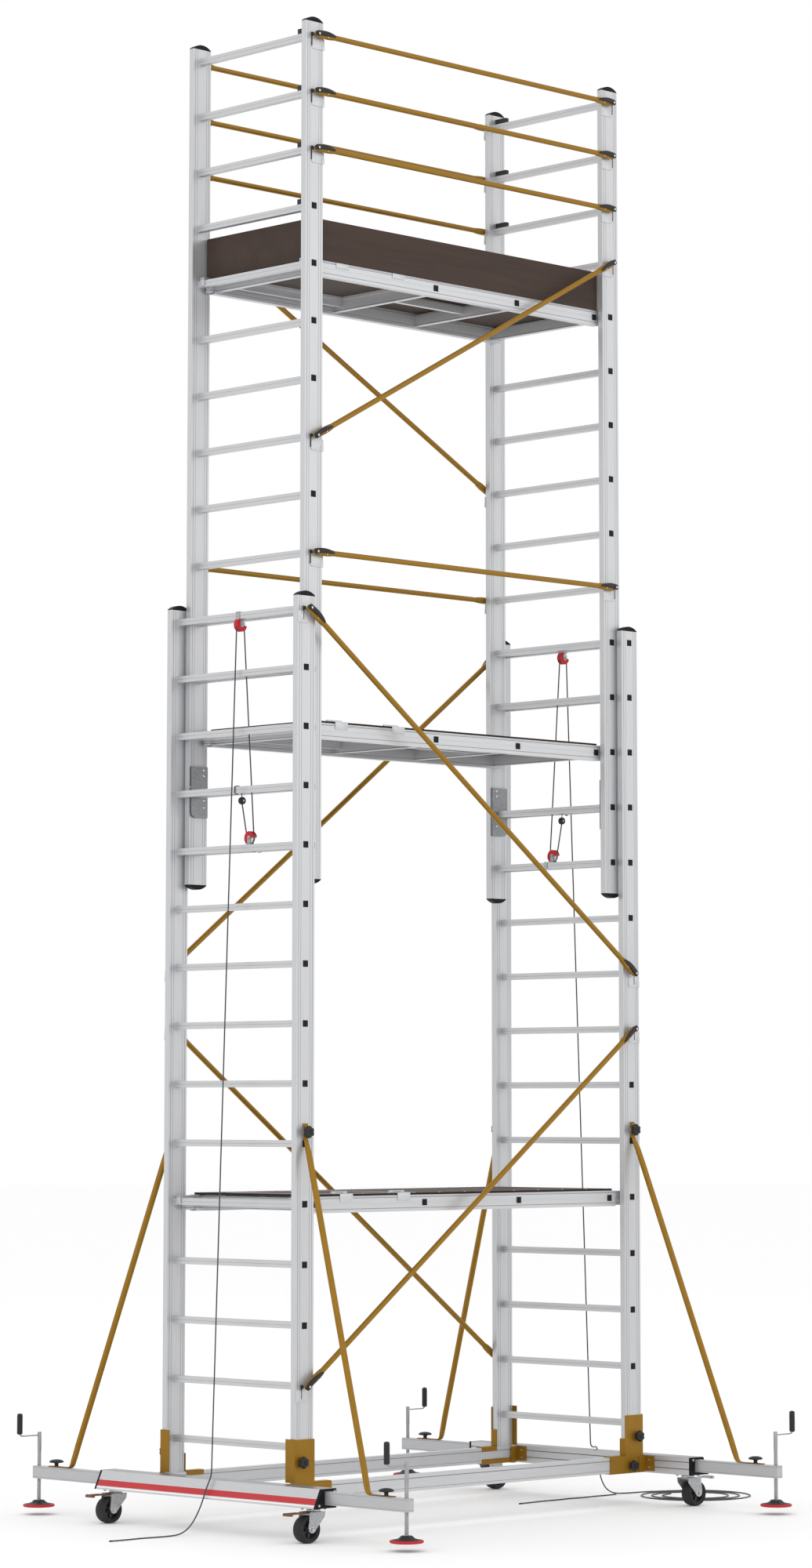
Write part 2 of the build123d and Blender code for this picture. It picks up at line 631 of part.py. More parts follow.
def rope_tube(name, points):
    """A rope along straight runs joined by arcs as large as the runs allow."""
    corners = [Vector(*p) for p in points]
    radii = []
    for before, here, after in zip(corners, corners[1:], corners[2:]):
        turn = (here - before).get_angle(after - here)
        shorter = min((here - before).length, (after - here).length)
        radii.append(0.45 * shorter / tan(radians(turn) / 2))
    print(name, "radii", [round(r) for r in radii])
    path = FilletPolyline(*points, radius=radii)
    run = corners[1] - corners[0]
    tube = sweep(Plane(origin=points[0], z_dir=run) * Circle(ROPE_D / 2), path=path)
    expected = path.length * 3.14159 * (ROPE_D / 2) ** 2
    print(name, "length", round(path.length), "volume ratio", round(tube.volume / expected, 4))
    return tube


ROPE_A = [(-1151.4, 0, 4281), (-1312, -30, 264), (-1341, -26, 206), (-1361, -20, 142), (-1393, -17, 82),
          (-1437, -20, 35), (-1496, -27, 8), (-1560, -30, 4), (-1642, -22, 3.6), (-1732, -8, 3.6),
          (-1826, -15, 3.6), (-1918, -9, 3.6)]
ROPE_B = [(1151.4, 0, 4281), (1205, -98, 270), (1252, -74, 257), (1311, -42, 259), (1347, -20, 206),
          (1365, -6, 143), (1389, 1, 82), (1430, 6, 33), (1488, 7, 8), (1558, 4, 4), (1640, -4, 3.6),
          (1716, -10, 3.6)]
ROPE_B_TAIL = [(1496, -2, 3.6), (1424, -12, 3.6), (1336, -5, 3.6), (1240, -11, 3.6), (1142, -3, 3.6),
               (1046, -13, 3.6), (950, -7, 3.6), (854, -18, 3.6), (760, -24, 3.6)]
COIL_X, COIL_Y = 1720.0, -330.0
COIL_OUTER, COIL_INNER, COIL_HIGH = 324.0, 140.0, 14.0


def rope_coil():
    """The outer shape of the loose rope coil on the floor."""
    ring = Cylinder(COIL_OUTER, COIL_HIGH, align=(Align.CENTER, Align.CENTER, Align.MIN))
    ring -= Cylinder(COIL_INNER, COIL_HIGH, align=(Align.CENTER, Align.CENTER, Align.MIN))
    return Pos(COIL_X, COIL_Y, 0) * ring


# ---- latches on the sliding section ----
LATCH_X, LATCH_Z = 1075.0, 3515.0
LATCH_LEAN = 10.0             # at rest the arm leans this far back from upright, in degrees
LATCH_FACE = UPPER_HALF - STILE_T


def latch_housing():
    """Back plate and cover plate joined at their inner edge, with the pivot pin."""
    tall = (3373, 3622)
    housing = block((994, 1100), (LATCH_FACE - 3, LATCH_FACE), tall)
    housing += block((994, 1100), (LATCH_FACE - 13, LATCH_FACE - 10), tall)
    housing += block((994, 998), (LATCH_FACE - 13, LATCH_FACE), tall)
    corner = block((1070, 1100), (LATCH_FACE - 13, LATCH_FACE), (3373, 3403))
    corner -= rod((1070, LATCH_FACE - 13, 3403), (1070, LATCH_FACE, 3403), 60)
    housing -= corner
    rung = (UPPER_X - RUNG / 2 - 0.5, UPPER_X + RUNG / 2 + 0.5)
    rung_height = (rung_z(12) - RUNG / 2 - 0.5, rung_z(12) + RUNG / 2 + 0.5)
    housing -= block(rung, (LATCH_FACE - 13, LATCH_FACE), rung_height)
    housing += rod((LATCH_X, LATCH_FACE - 13, LATCH_Z), (LATCH_X, LATCH_FACE, LATCH_Z), 8)
    pieces = [housing]
    for z in (3424, 3459, 3578, 3606):
        pieces.append(rod((1019, LATCH_FACE - 15, z), (1019, LATCH_FACE - 13, z), 11))
    return pieces


def latch_arm():
    """The bolt that swings out over a lower rung, and its release lever."""
    plane = Plane(origin=(LATCH_X, LATCH_FACE - 6.5, LATCH_Z), x_dir=(1, 0, 0), z_dir=(0, 1, 0))
    arm = Cylinder(13.5, 6) + Pos(0, -31, 0) * Box(24, 62, 6) + Pos(15, 0, 0) * Box(30, 8, 6)
    arm -= Cylinder(4 + FIT, 6)
    return plane * (Rot(0, 0, -LATCH_LEAN) * arm)


# ---- the nodes ----
def save_ladders(upper_runs, lower_runs):
    save("lower_stiles", four([stile(LOWER_X, LOWER_HALF, SIDE_TOP, LOWER_TOP)]))
    save("lower_rungs", ladder_rungs(LOWER_X, LOWER_HALF, LOWER_RUNGS))
    lower = rung_plugs(LOWER_X, LOWER_HALF, LOWER_RUNGS[1:], hooked_ends(lower_runs))
    for x in crossbars(LOW_LEVEL):
        outer, z = rail_outer(LOW_LEVEL), rung_z(LOW_LEVEL) - 4
        for y in ((outer, outer + 2), (-outer - 2, -outer)):
            lower.append(block((x - PLUG / 2, x + PLUG / 2), y, (z - PLUG / 2, z + PLUG / 2)))
    lower += four([domed_cap(LOWER_X, LOWER_HALF, LOWER_TOP, CAP_RISE), beam_cap()])
    save("lower_plugs_and_caps", lower)
    save("upper_stiles", four([stile(UPPER_X, UPPER_HALF, UPPER_FOOT, UPPER_TOP)]))
    save("upper_rungs", ladder_rungs(UPPER_X, UPPER_HALF, UPPER_RUNGS))
    upper = rung_plugs(UPPER_X, UPPER_HALF, UPPER_RUNGS, hooked_ends(upper_runs))
    for level in (TOP_LEVEL, MIDDLE_LEVEL):
        for x in crossbars(level):
            outer, z = rail_outer(level), rung_z(level) - 4
            for y in ((outer, outer + 2), (-outer - 2, -outer)):
                upper.append(block((x - PLUG / 2, x + PLUG / 2), y, (z - PLUG / 2, z + PLUG / 2)))
    upper += four([domed_cap(UPPER_X, UPPER_HALF, UPPER_TOP, CAP_RISE),
                   domed_cap(UPPER_X, UPPER_HALF, UPPER_FOOT, -CAP_RISE)])
    save("upper_plugs_and_caps", upper)


def save_base():
    save("end_beams", both_ends([end_beam()]))
    save("side_beams", [side_beam(), mirror(side_beam(), about=Plane.XZ)])
    save("base_brackets", four([corner_bracket()] + angle_brackets()))
    knobs = [hand_knob(1149, LOWER_HALF + PLATE, 340), hand_knob(1108, LOWER_HALF + PLATE, 196)]
    save("clamp_knobs", four(knobs + [stay_pivot()]))
    save("base_fasteners", four(castor_plate() + rivets()))


def save_platforms():
    save("lower_platform_frame", platform_frame(LOW_LEVEL))
    save("lower_platform_deck", platform_deck(LOW_LEVEL))
    save("upper_platform_frames", platform_frame(TOP_LEVEL) + platform_frame(MIDDLE_LEVEL))
    save("upper_platform_decks", platform_deck(TOP_LEVEL) + platform_deck(MIDDLE_LEVEL))
    save("toe_boards", toe_boards())
    for name, level in (("top", TOP_LEVEL), ("middle", MIDDLE_LEVEL), ("lower", LOW_LEVEL)):
        save("trapdoor_" + name, trapdoor(level))


def save_braces(upper_runs, lower_runs):
    save("guard_rails", [brace_tube(run) for run in upper_runs])
    save("upper_brace_hooks", brace_hooks(upper_runs, UPPER_HALF))
    save("lower_braces", [brace_tube(run) for run in lower_runs])
    save("lower_brace_hooks", brace_hooks(lower_runs, LOWER_HALF))


def save_corners():
    for corner, side, end in CORNERS:
        save("castor_fork_" + corner, [placed(s, side, end) for s in castor_fork()])
        save("castor_wheel_" + corner, [placed(castor_wheel(), side, end)])
        save("brake_pedal_" + corner, [placed(brake_pedal(), side, end)])
        save("outrigger_" + corner, [placed(outrigger(), side, end)])
        save("jack_foot_" + corner, [placed(s, side, end) for s in jack_foot()])
        save("jack_screw_" + corner, [placed(s, side, end) for s in jack_screw()])
        save("stay_" + corner, [placed(s, side, end) for s in stay()])


def save_hoist():
    save("hoist_top_blocks", both_ladders(top_block()))
    save("lift_pulley_blocks", both_ladders(lift_block()))
    save("lift_ropes", both_ladders(lift_strands()))
    save("haul_rope_a", [rope_tube("rope_a", ROPE_A)])
    save("haul_rope_b", [rope_tube("rope_b", ROPE_B), rope_tube("rope_b_tail", ROPE_B_TAIL)])
    save("rope_coil_b", [rope_coil()])


def save_latches():
    save("latch_housings", four(latch_housing()))
    for ladder, side in (("a", -1), ("b", 1)):
        save("latches_" + ladder, [placed(latch_arm(), side, end) for end in (-1, 1)])


UPPER_RUNS, LOWER_RUNS = brace_runs()
save_ladders(UPPER_RUNS, LOWER_RUNS)
save_base()
save_platforms()
save_braces(UPPER_RUNS, LOWER_RUNS)
save_corners()
save_hoist()
save_latches()
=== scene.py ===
import math

import bmesh
import bpy
from mathutils import Matrix, Vector


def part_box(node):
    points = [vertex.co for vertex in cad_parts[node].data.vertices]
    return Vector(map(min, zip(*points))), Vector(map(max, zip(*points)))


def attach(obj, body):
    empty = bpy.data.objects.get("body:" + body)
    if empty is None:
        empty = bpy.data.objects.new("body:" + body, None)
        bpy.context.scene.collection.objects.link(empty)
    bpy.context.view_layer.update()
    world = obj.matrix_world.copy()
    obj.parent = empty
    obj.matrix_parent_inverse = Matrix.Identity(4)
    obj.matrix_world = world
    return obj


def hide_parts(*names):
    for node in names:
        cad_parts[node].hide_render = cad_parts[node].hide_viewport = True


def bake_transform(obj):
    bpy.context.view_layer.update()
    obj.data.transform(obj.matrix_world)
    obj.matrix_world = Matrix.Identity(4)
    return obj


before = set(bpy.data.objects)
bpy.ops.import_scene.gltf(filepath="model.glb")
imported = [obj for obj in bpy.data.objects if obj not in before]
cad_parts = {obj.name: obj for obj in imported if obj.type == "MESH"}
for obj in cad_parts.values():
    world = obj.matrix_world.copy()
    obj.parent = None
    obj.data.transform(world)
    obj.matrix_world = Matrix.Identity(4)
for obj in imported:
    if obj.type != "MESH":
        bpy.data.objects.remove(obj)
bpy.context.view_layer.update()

MM = 0.001
TAU = 2 * math.pi

# Places, in metres, in the frame's own axes: X from ladder A to ladder B, -Y in front.
CORNERS = (("a_front", -1, -1), ("a_back", -1, 1), ("b_front", 1, -1), ("b_back", 1, 1))
RUNG_PITCH = 0.280
FIRST_RUNG = 0.405
LOWER_X, UPPER_X = 1.1274, 1.0443
LOWER_FACE, UPPER_FACE = 0.465, 0.4215
LOWER_BRACE_Y, UPPER_BRACE_Y = 0.487, 0.440
GUARD_RUNGS = (25, 24, 23, 16)
PLATFORMS = (("top", 21, "upper_section"), ("middle", 13, "upper_section"), ("lower", 5, "root"))
ARM_X, JACK_Y = 1.263, 1.284
KNOB_Z = 1.860
WHEEL_X, CASTOR_Y, WHEEL_Z = 1.322, 0.692, 0.0625
SWIVEL_X = 1.2785
STILE_DEPTH = 0.0306
DECK_ABOVE_RUNG = 0.042
HINGES_X = (-0.815, -0.435)
SHEAVE_R = 0.024
TOP_SHEAVE_Z = 4.281
LIFT_SHEAVE = (1.085, 0.033, 3.255)


def rung_z(number):
    """Height of a rung's centre."""
    return FIRST_RUNG + RUNG_PITCH * (number - 1)


def link(obj):
    """Puts an object in the scene."""
    bpy.context.scene.collection.objects.link(obj)


# ---------------- camera
def add_camera():
    """Long-lens view from low down and 22 m away, towards ladder A's front corner."""
    yaw, pitch, roll = 0.785797, 0.114573, -0.000806
    level = math.cos(pitch)
    forward = Vector((math.sin(yaw) * level, math.cos(yaw) * level, math.sin(pitch)))
    right = Vector((math.cos(yaw), -math.sin(yaw), 0))
    up = right.cross(forward)
    across = right * math.cos(roll) + up * math.sin(roll)
    above = up * math.cos(roll) - right * math.sin(roll)
    turn = Matrix((across, above, -forward)).transposed().to_4x4()
    data = bpy.data.cameras.new("camera")
    data.lens = 100.69
    data.sensor_width = 36
    data.shift_x = -0.02898
    data.shift_y = -0.11737
    data.clip_end = 500
    camera = bpy.data.objects.new("camera", data)
    camera.matrix_world = Matrix.Translation((-15.25373, -15.55165, 1.98633)) @ turn
    link(camera)
    bpy.context.scene.camera = camera


# ---------------- materials
SILVER = (0.56, 0.565, 0.58)


class Look:
    """A material with one principled shader, and the node kit that its patterns are made with."""

    def __init__(self, name, color, metallic, roughness, specular=0.5):
        self.mat = bpy.data.materials.new(name)
        self.mat.use_nodes = True
        self.nodes, self.links = self.mat.node_tree.nodes, self.mat.node_tree.links
        self.shader = self.nodes["Principled BSDF"]
        self.shader.inputs["Base Color"].default_value = (*color, 1)
        self.shader.inputs["Metallic"].default_value = metallic
        self.shader.inputs["Roughness"].default_value = roughness
        self.shader.inputs["Specular IOR Level"].default_value = specular
        self.coords = self.nodes.new("ShaderNodeTexCoord").outputs["Object"]

    def drive(self, value, socket):
        """Lets a node's output set one of the shader's inputs."""
        self.links.new(value, self.shader.inputs[socket])

    def node(self, kind, sockets):
        """A new node. Each socket is given another node's output, a number, a vector or a colour."""
        made = self.nodes.new("ShaderNode" + kind)
        for key, value in sockets.items():
            socket = made.inputs[key]
            if isinstance(value, bpy.types.NodeSocket):
                self.links.new(value, socket)
            else:
                socket.default_value = (*value, 1) if socket.type == "RGBA" else value
        return made

    def stretched(self, scale):
        """The object's coordinates, scaled along each axis."""
        return self.node("Mapping", {"Vector": self.coords, "Scale": scale}).outputs["Vector"]

    def noise(self, coords, scale, detail=4.0):
        """A value that wanders over the surface between 0 and 1."""
        sockets = {"Vector": coords, "Scale": scale, "Detail": detail, "Roughness": 0.55}
        return self.node("TexNoise", sockets).outputs["Fac"]

    def ramp(self, value, low, high, dark, light):
        """A colour from dark to light as a value goes from low to high."""
        node = self.node("ValToRGB", {"Fac": value})
        for element, spot, color in zip(node.color_ramp.elements, (low, high), (dark, light)):
            element.position = spot
            element.color = (*color, 1)
        return node.outputs["Color"]

    def spread(self, value, low, high):
        """A value of 0 to 1 spread from low to high."""
        return self.node("MapRange", {"Value": value, "To Min": low, "To Max": high}).outputs["Result"]

    def calc(self, operation, *values):
        """Arithmetic on outputs or plain numbers."""
        node = self.node("Math", dict(enumerate(values)))
        node.operation = operation
        return node.outputs[0]

    def axis_of(self, vector, axis):
        """One axis of a vector."""
        return self.node("SeparateXYZ", {"Vector": vector}).outputs[axis]

    def along(self, axis):
        """How far a point lies along one of the frame's axes."""
        return self.axis_of(self.coords, axis)

    def blended(self, factor, first, second):
        """One colour over another by a factor."""
        return self.node("MixRGB", {"Fac": factor, "Color1": first, "Color2": second}).outputs["Color"]

    def bands(self, value, spots):
        """1 inside any of the (middle, half width) bands of a value, else 0."""
        total = None
        for middle, half in spots:
            here = self.calc("COMPARE", value, middle, half)
            total = here if total is None else self.calc("MAXIMUM", total, here)
        return total

    def height(self):
        """Height above the floor."""
        return self.along("Z")

    def above_rung(self):
        """Height above the nearest rung's centre."""
        cycle = self.calc("ADD", self.height(), RUNG_PITCH / 2 - FIRST_RUNG)
        return self.calc("SUBTRACT", self.calc("MODULO", cycle, RUNG_PITCH), RUNG_PITCH / 2)

    def finished(self, shade, relief, rough=None):
        """Sets the colour, relief by (height, strength, distance) and roughness by (value, low, high)."""
        self.drive(shade, "Base Color")
        bump = self.node("Bump", dict(zip(("Height", "Strength", "Distance"), relief)))
        self.drive(bump.outputs["Normal"], "Normal")
        if rough:
            self.drive(self.spread(*rough), "Roughness")
        return self.mat


def tinted(color, factor):
    """A darker or lighter colour."""
    return tuple(c * factor for c in color)


def grained(name, color, metallic, roughness, stretch, scale, contrast, bump, specular=0.5):
    """Streaks or grains: colour, roughness and surface all follow one noise."""
    look = Look(name, color, metallic, roughness, specular)
    vector = look.stretched(stretch)
    fine = look.noise(vector, scale)
    broad = look.noise(vector, scale / 9, 2.0)
    mixed = look.calc("MULTIPLY_ADD", broad, 0.5, look.calc("MULTIPLY", fine, 0.5))
    shade = look.ramp(mixed, 0.3, 0.7, tinted(color, 1 - contrast), tinted(color, 1 + contrast))
    return look.finished(shade, (fine, bump, 0.0004), (fine, roughness - 0.07, roughness + 0.09))


def extrusion(name, stretch, grooves, across, tone=1.0):
    """Satin aluminium with fine draw lines, and grooves at set places across the profile: dented in the
    relief, and darkened with painted shade.
    """
    look = Look(name, SILVER, 0.5, 0.38)
    fine = look.noise(look.stretched(stretch), 8)
    brushed = look.ramp(fine, 0.3, 0.7, tinted(SILVER, 0.94 * tone), tinted(SILVER, 1.05 * tone))
    inside = look.bands(across(look), grooves)
    # Painted shade: the grooves are darkened in colour.
    shade = look.blended(inside, brushed, tinted(SILVER, 0.42))
    depth = look.calc("SUBTRACT", look.calc("MULTIPLY", fine, 0.12), inside)
    return look.finished(shade, (depth, 0.35, 0.0008), (fine, 0.31, 0.46))


def from_line(line_x):
    """Measures the grooves along a ladder's stiles from its centre line."""
    def across(look):
        x = look.calc("ABSOLUTE", look.along("X"))
        return look.calc("ABSOLUTE", look.calc("SUBTRACT", x, line_x))
    return across


def striped_beam():
    """The end beams: two grooves in the inner face darkened with painted shade, a red line over a light band
    of painted highlight on the slanted face, and painted shade on the top face.
    """
    inner_face, slanted_face, top_face = 1.2145, 1.307, 0.2446
    look = Look("extrusion_striped", SILVER, 0.5, 0.36)
    fine = look.noise(look.stretched((60, 1.5, 60)), 9)
    shade = look.ramp(fine, 0.3, 0.7, tinted(SILVER, 0.94), tinted(SILVER, 1.05))
    z = look.height()
    x = look.calc("ABSOLUTE", look.along("X"))
    outside = look.calc("GREATER_THAN", x, slanted_face)
    red = look.calc("MULTIPLY", outside, look.bands(z, [(0.1885, 0.0135)]))
    # A light band under the red line: painted highlight.
    highlight_band = look.calc("MULTIPLY", outside, look.bands(z, [(0.1690, 0.0030)]))
    inside = look.calc("LESS_THAN", x, inner_face)
    # Painted shade in the inner face's two grooves.
    grooves = look.calc("MULTIPLY", inside, look.bands(z, [(0.187, 0.002), (0.221, 0.002)]))
    # Painted shade: the top face is darkened to half the silver.
    top = look.calc("GREATER_THAN", z, top_face)
    for here, color in ((red, (0.50, 0.012, 0.018)), (highlight_band, (0.85, 0.85, 0.85)),
                        (grooves, (0.12, 0.12, 0.13)), (top, tinted(SILVER, 0.5))):
        shade = look.blended(here, shade, color)
    # The red print and the painted highlight band are not metallic.
    print_and_highlight = look.calc("MAXIMUM", red, highlight_band)
    look.drive(look.spread(print_and_highlight, 0.5, 0.0), "Metallic")
    return look.finished(shade, (fine, 0.12, 0.0004), (fine, 0.3, 0.44))


def film_board(name, framed):
    """Film-faced plywood with a fine wire mark, scuffs and ply layers on its edges.

    A framed one is a trapdoor: all but its board's own thickness is aluminium."""
    film, mesh_size, ply_pair = (0.060, 0.042, 0.034), 0.006, 0.0032
    look = Look(name, film, 0.0, 0.55, 0.1)
    lines = []
    for axis in "XY":
        wave = look.calc("MULTIPLY", look.along(axis), TAU / mesh_size)
        lines.append(look.calc("ABSOLUTE", look.calc("SINE", wave)))
    wire_mark = look.calc("MULTIPLY", *lines)
    scuff = look.noise(look.stretched((3, 9, 3)), 2.5, 6.0)
    worn = look.ramp(scuff, 0.35, 0.75, tinted(film, 0.8), tinted(film, 1.35))
    ply = look.calc("SINE", look.calc("MULTIPLY", look.height(), TAU / ply_pair))
    edge = look.ramp(ply, 0.2, 0.8, (0.020, 0.013, 0.010), (0.050, 0.032, 0.022))
    normal = look.node("NewGeometry", {}).outputs["True Normal"]
    up = look.calc("ABSOLUTE", look.axis_of(normal, "Z"))
    flat = look.calc("GREATER_THAN", up, 0.5)
    shade = look.blended(flat, edge, worn)
    if framed:
        board = look.bands(look.above_rung(), [(0.0370, 0.0054)])
        shade = look.blended(board, SILVER, shade)
        look.drive(look.spread(board, 0.5, 0.0), "Metallic")
    return look.finished(shade, (wire_mark, 0.35, 0.0005), (scuff, 0.42, 0.68))


def braided_rope():
    """Dark braided rope with the diagonal bumps of its strands."""
    look = Look("rope_braid", (0.05, 0.052, 0.058), 0.0, 0.82)
    strands = []
    for sign in (1, -1):
        wave = look.node("TexWave", {"Vector": look.stretched((sign * 170, 170, 170)), "Scale": 0.5})
        wave.bands_direction = "DIAGONAL"
        strands.append(wave.outputs["Fac"])
    braid = look.calc("MULTIPLY", *strands)
    shade = look.ramp(braid, 0.0, 0.7, (0.022, 0.023, 0.026), (0.10, 0.10, 0.11))
    look.shader.inputs["Sheen Weight"].default_value = 0.25
    return look.finished(shade, (braid, 0.6, 0.0008))


def zinc(name, tone_low, tone_high):
    """Galvanised steel with a soft spangle."""
    look = Look(name, tone_low, 0.6, 0.40)
    cells = look.node("TexVoronoi", {"Vector": look.coords, "Scale": 140})
    tone = look.axis_of(cells.outputs["Color"], "X")
    shade = look.ramp(tone, 0.0, 1.0, tone_low, tone_high)
    return look.finished(shade, (look.noise(look.coords, 300), 0.1, 0.0003), (tone, 0.3, 0.48))


EVEN = (1, 1, 1)
GOLD = (0.285, 0.146, 0.010)
# The stiles' grooves, darkened with painted shade: (distance from the stile's centre line, half width).
STILE_GROOVES = [(0.0440, 0.0013), (0.0300, 0.0010)]

# Name, colour, metallic, roughness, stretch and scale of the grain, its contrast and bump, specular.
GRAINED = {
    "alu": ("sheet_aluminium", SILVER, 0.5, 0.38, (60, 60, 1.5), 8.0, 0.05, 0.10),
    "gold": ("gold_coat", GOLD, 0.35, 0.40, EVEN, 90.0, 0.10, 0.10, 0.25),
    "gold_x": ("gold_tube", GOLD, 0.35, 0.38, (1.5, 40, 40), 8.0, 0.09, 0.08, 0.25),
    "black": ("moulded_black", (0.018, 0.018, 0.020), 0.0, 0.48, EVEN, 420.0, 0.25, 0.18, 0.3),
    "plug": ("plug_black", (0.007, 0.007, 0.008), 0.0, 0.5, EVEN, 420.0, 0.25, 0.18, 0.15),
    "tyre": ("tyre_black", (0.020, 0.020, 0.022), 0.0, 0.62, EVEN, 260.0, 0.30, 0.25, 0.3),
    "hub": ("hub_black", (0.035, 0.035, 0.038), 0.0, 0.42, EVEN, 300.0, 0.2, 0.12),
    "red": ("red_rubber", (0.50, 0.012, 0.020), 0.0, 0.52, EVEN, 220.0, 0.12, 0.2, 0.3),
    "spindle": ("screw_steel", (0.36, 0.365, 0.37), 0.8, 0.34, EVEN, 200.0, 0.10, 0.08),
    "steel": ("bright_steel", (0.62, 0.62, 0.63), 0.9, 0.22, EVEN, 160.0, 0.05, 0.05),
    "pedal": ("pedal_paint", (0.16, 0.065, 0.035), 0.2, 0.45, EVEN, 120.0, 0.18, 0.15),
    "toe": ("toe_film", (0.058, 0.040, 0.032), 0.0, 0.5, (2, 30, 30), 3.0, 0.16, 0.2, 0.1),
    "white": ("nylon_white", (0.70, 0.69, 0.66), 0.0, 0.4, EVEN, 200.0, 0.04, 0.08),
}

# Name, stretch, grooves (darkened with painted shade), what they are measured across, and a tone.
EXTRUDED = {
    "stile_low": ("stile_lower", (60, 60, 0.8), STILE_GROOVES, from_line(LOWER_X)),
    "stile_up": ("stile_upper", (60, 60, 0.8), STILE_GROOVES, from_line(UPPER_X)),
    "rung": ("rung_tube", (60, 0.8, 60), [(0.0, 0.0006)], Look.above_rung),
    "side_beam": ("side_beam_tube", (0.8, 60, 60), [(0.2255, 0.0018), (0.1790, 0.0010)], Look.height),
    "rail": ("platform_rail", (0.8, 60, 60), [(0.0215, 0.0014), (0.0265, 0.0008), (-0.0290, 0.0014)],
             Look.above_rung),
    "arm": ("outrigger_tube", (60, 0.8, 60), [(0.2275, 0.0008), (0.1805, 0.0008)], Look.height, 0.84),
}

MATS = {
    **{key: grained(*row) for key, row in GRAINED.items()},
    **{key: extrusion(*row) for key, row in EXTRUDED.items()},
    "beam": striped_beam(),
    "zinc": zinc("zinc_plate", (0.33, 0.335, 0.345), (0.48, 0.485, 0.495)),
    "dark_zinc": zinc("zinc_pressing", (0.20, 0.205, 0.215), (0.30, 0.305, 0.315)),
    "deck": film_board("deck_film", False),
    "hatch": film_board("hatch_film", True),
    "rope": braided_rope(),
}

# The CAD nodes that aren't zinc plated. A name without its corner stands for all four corners.
NODE_MATERIALS = {
    "lower_stiles": "stile_low", "upper_stiles": "stile_up", "lower_rungs": "rung", "upper_rungs": "rung",
    "side_beams": "side_beam", "end_beams": "beam", "base_brackets": "gold",
    "lower_plugs_and_caps": "plug", "upper_plugs_and_caps": "plug",
    "lower_platform_frame": "rail", "upper_platform_frames": "rail",
    "lower_platform_deck": "deck", "upper_platform_decks": "deck",
    "trapdoor_top": "hatch", "trapdoor_middle": "hatch", "trapdoor_lower": "hatch",
    "toe_boards": "toe", "latch_housings": "dark_zinc", "outrigger": "arm", "brake_pedal_a": "pedal",
}


def dress_cad_nodes():
    """Gives every CAD node its material."""
    for name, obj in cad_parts.items():
        keys = (name, name.rsplit("_", 1)[0], name.rsplit("_", 2)[0])
        chosen = next((NODE_MATERIALS[key] for key in keys if key in NODE_MATERIALS), "zinc")
        obj.data.materials.clear()
        obj.data.materials.append(MATS[chosen])


# ---------------- mesh kit
def place(origin, x_dir=(1, 0, 0), z_dir=(0, 0, 1)):
    """A matrix from a piece's own millimetres to the frame: its origin, and where its x and z point."""
    z = Vector(z_dir).normalized()
    x = Vector(x_dir)
    x = (x - z * x.dot(z)).normalized()
    y = z.cross(x)
    turn = Matrix((x, y, z)).transposed().to_4x4()
    return Matrix.Translation(origin) @ turn @ Matrix.Scale(MM, 4)


def facing_front(x, y, z):
    """A place with its z to the front."""
    return place((x, y, z), z_dir=(0, -1, 0))


def facing_back(x, y, z):
    """A place with its x up and its z to the back."""
    return place((x, y, z), x_dir=(0, 0, 1), z_dir=(0, 1, 0))


def mirrored(side, end):
    """Carries a place at corner b_back to the corner of a side and an end."""
    return Matrix.Diagonal((side, end, 1, 1))


def turned(side):
    """Ladder B's own place, or the same turned half round for ladder A."""
    return Matrix.Rotation(0 if side > 0 else math.pi, 4, "Z")


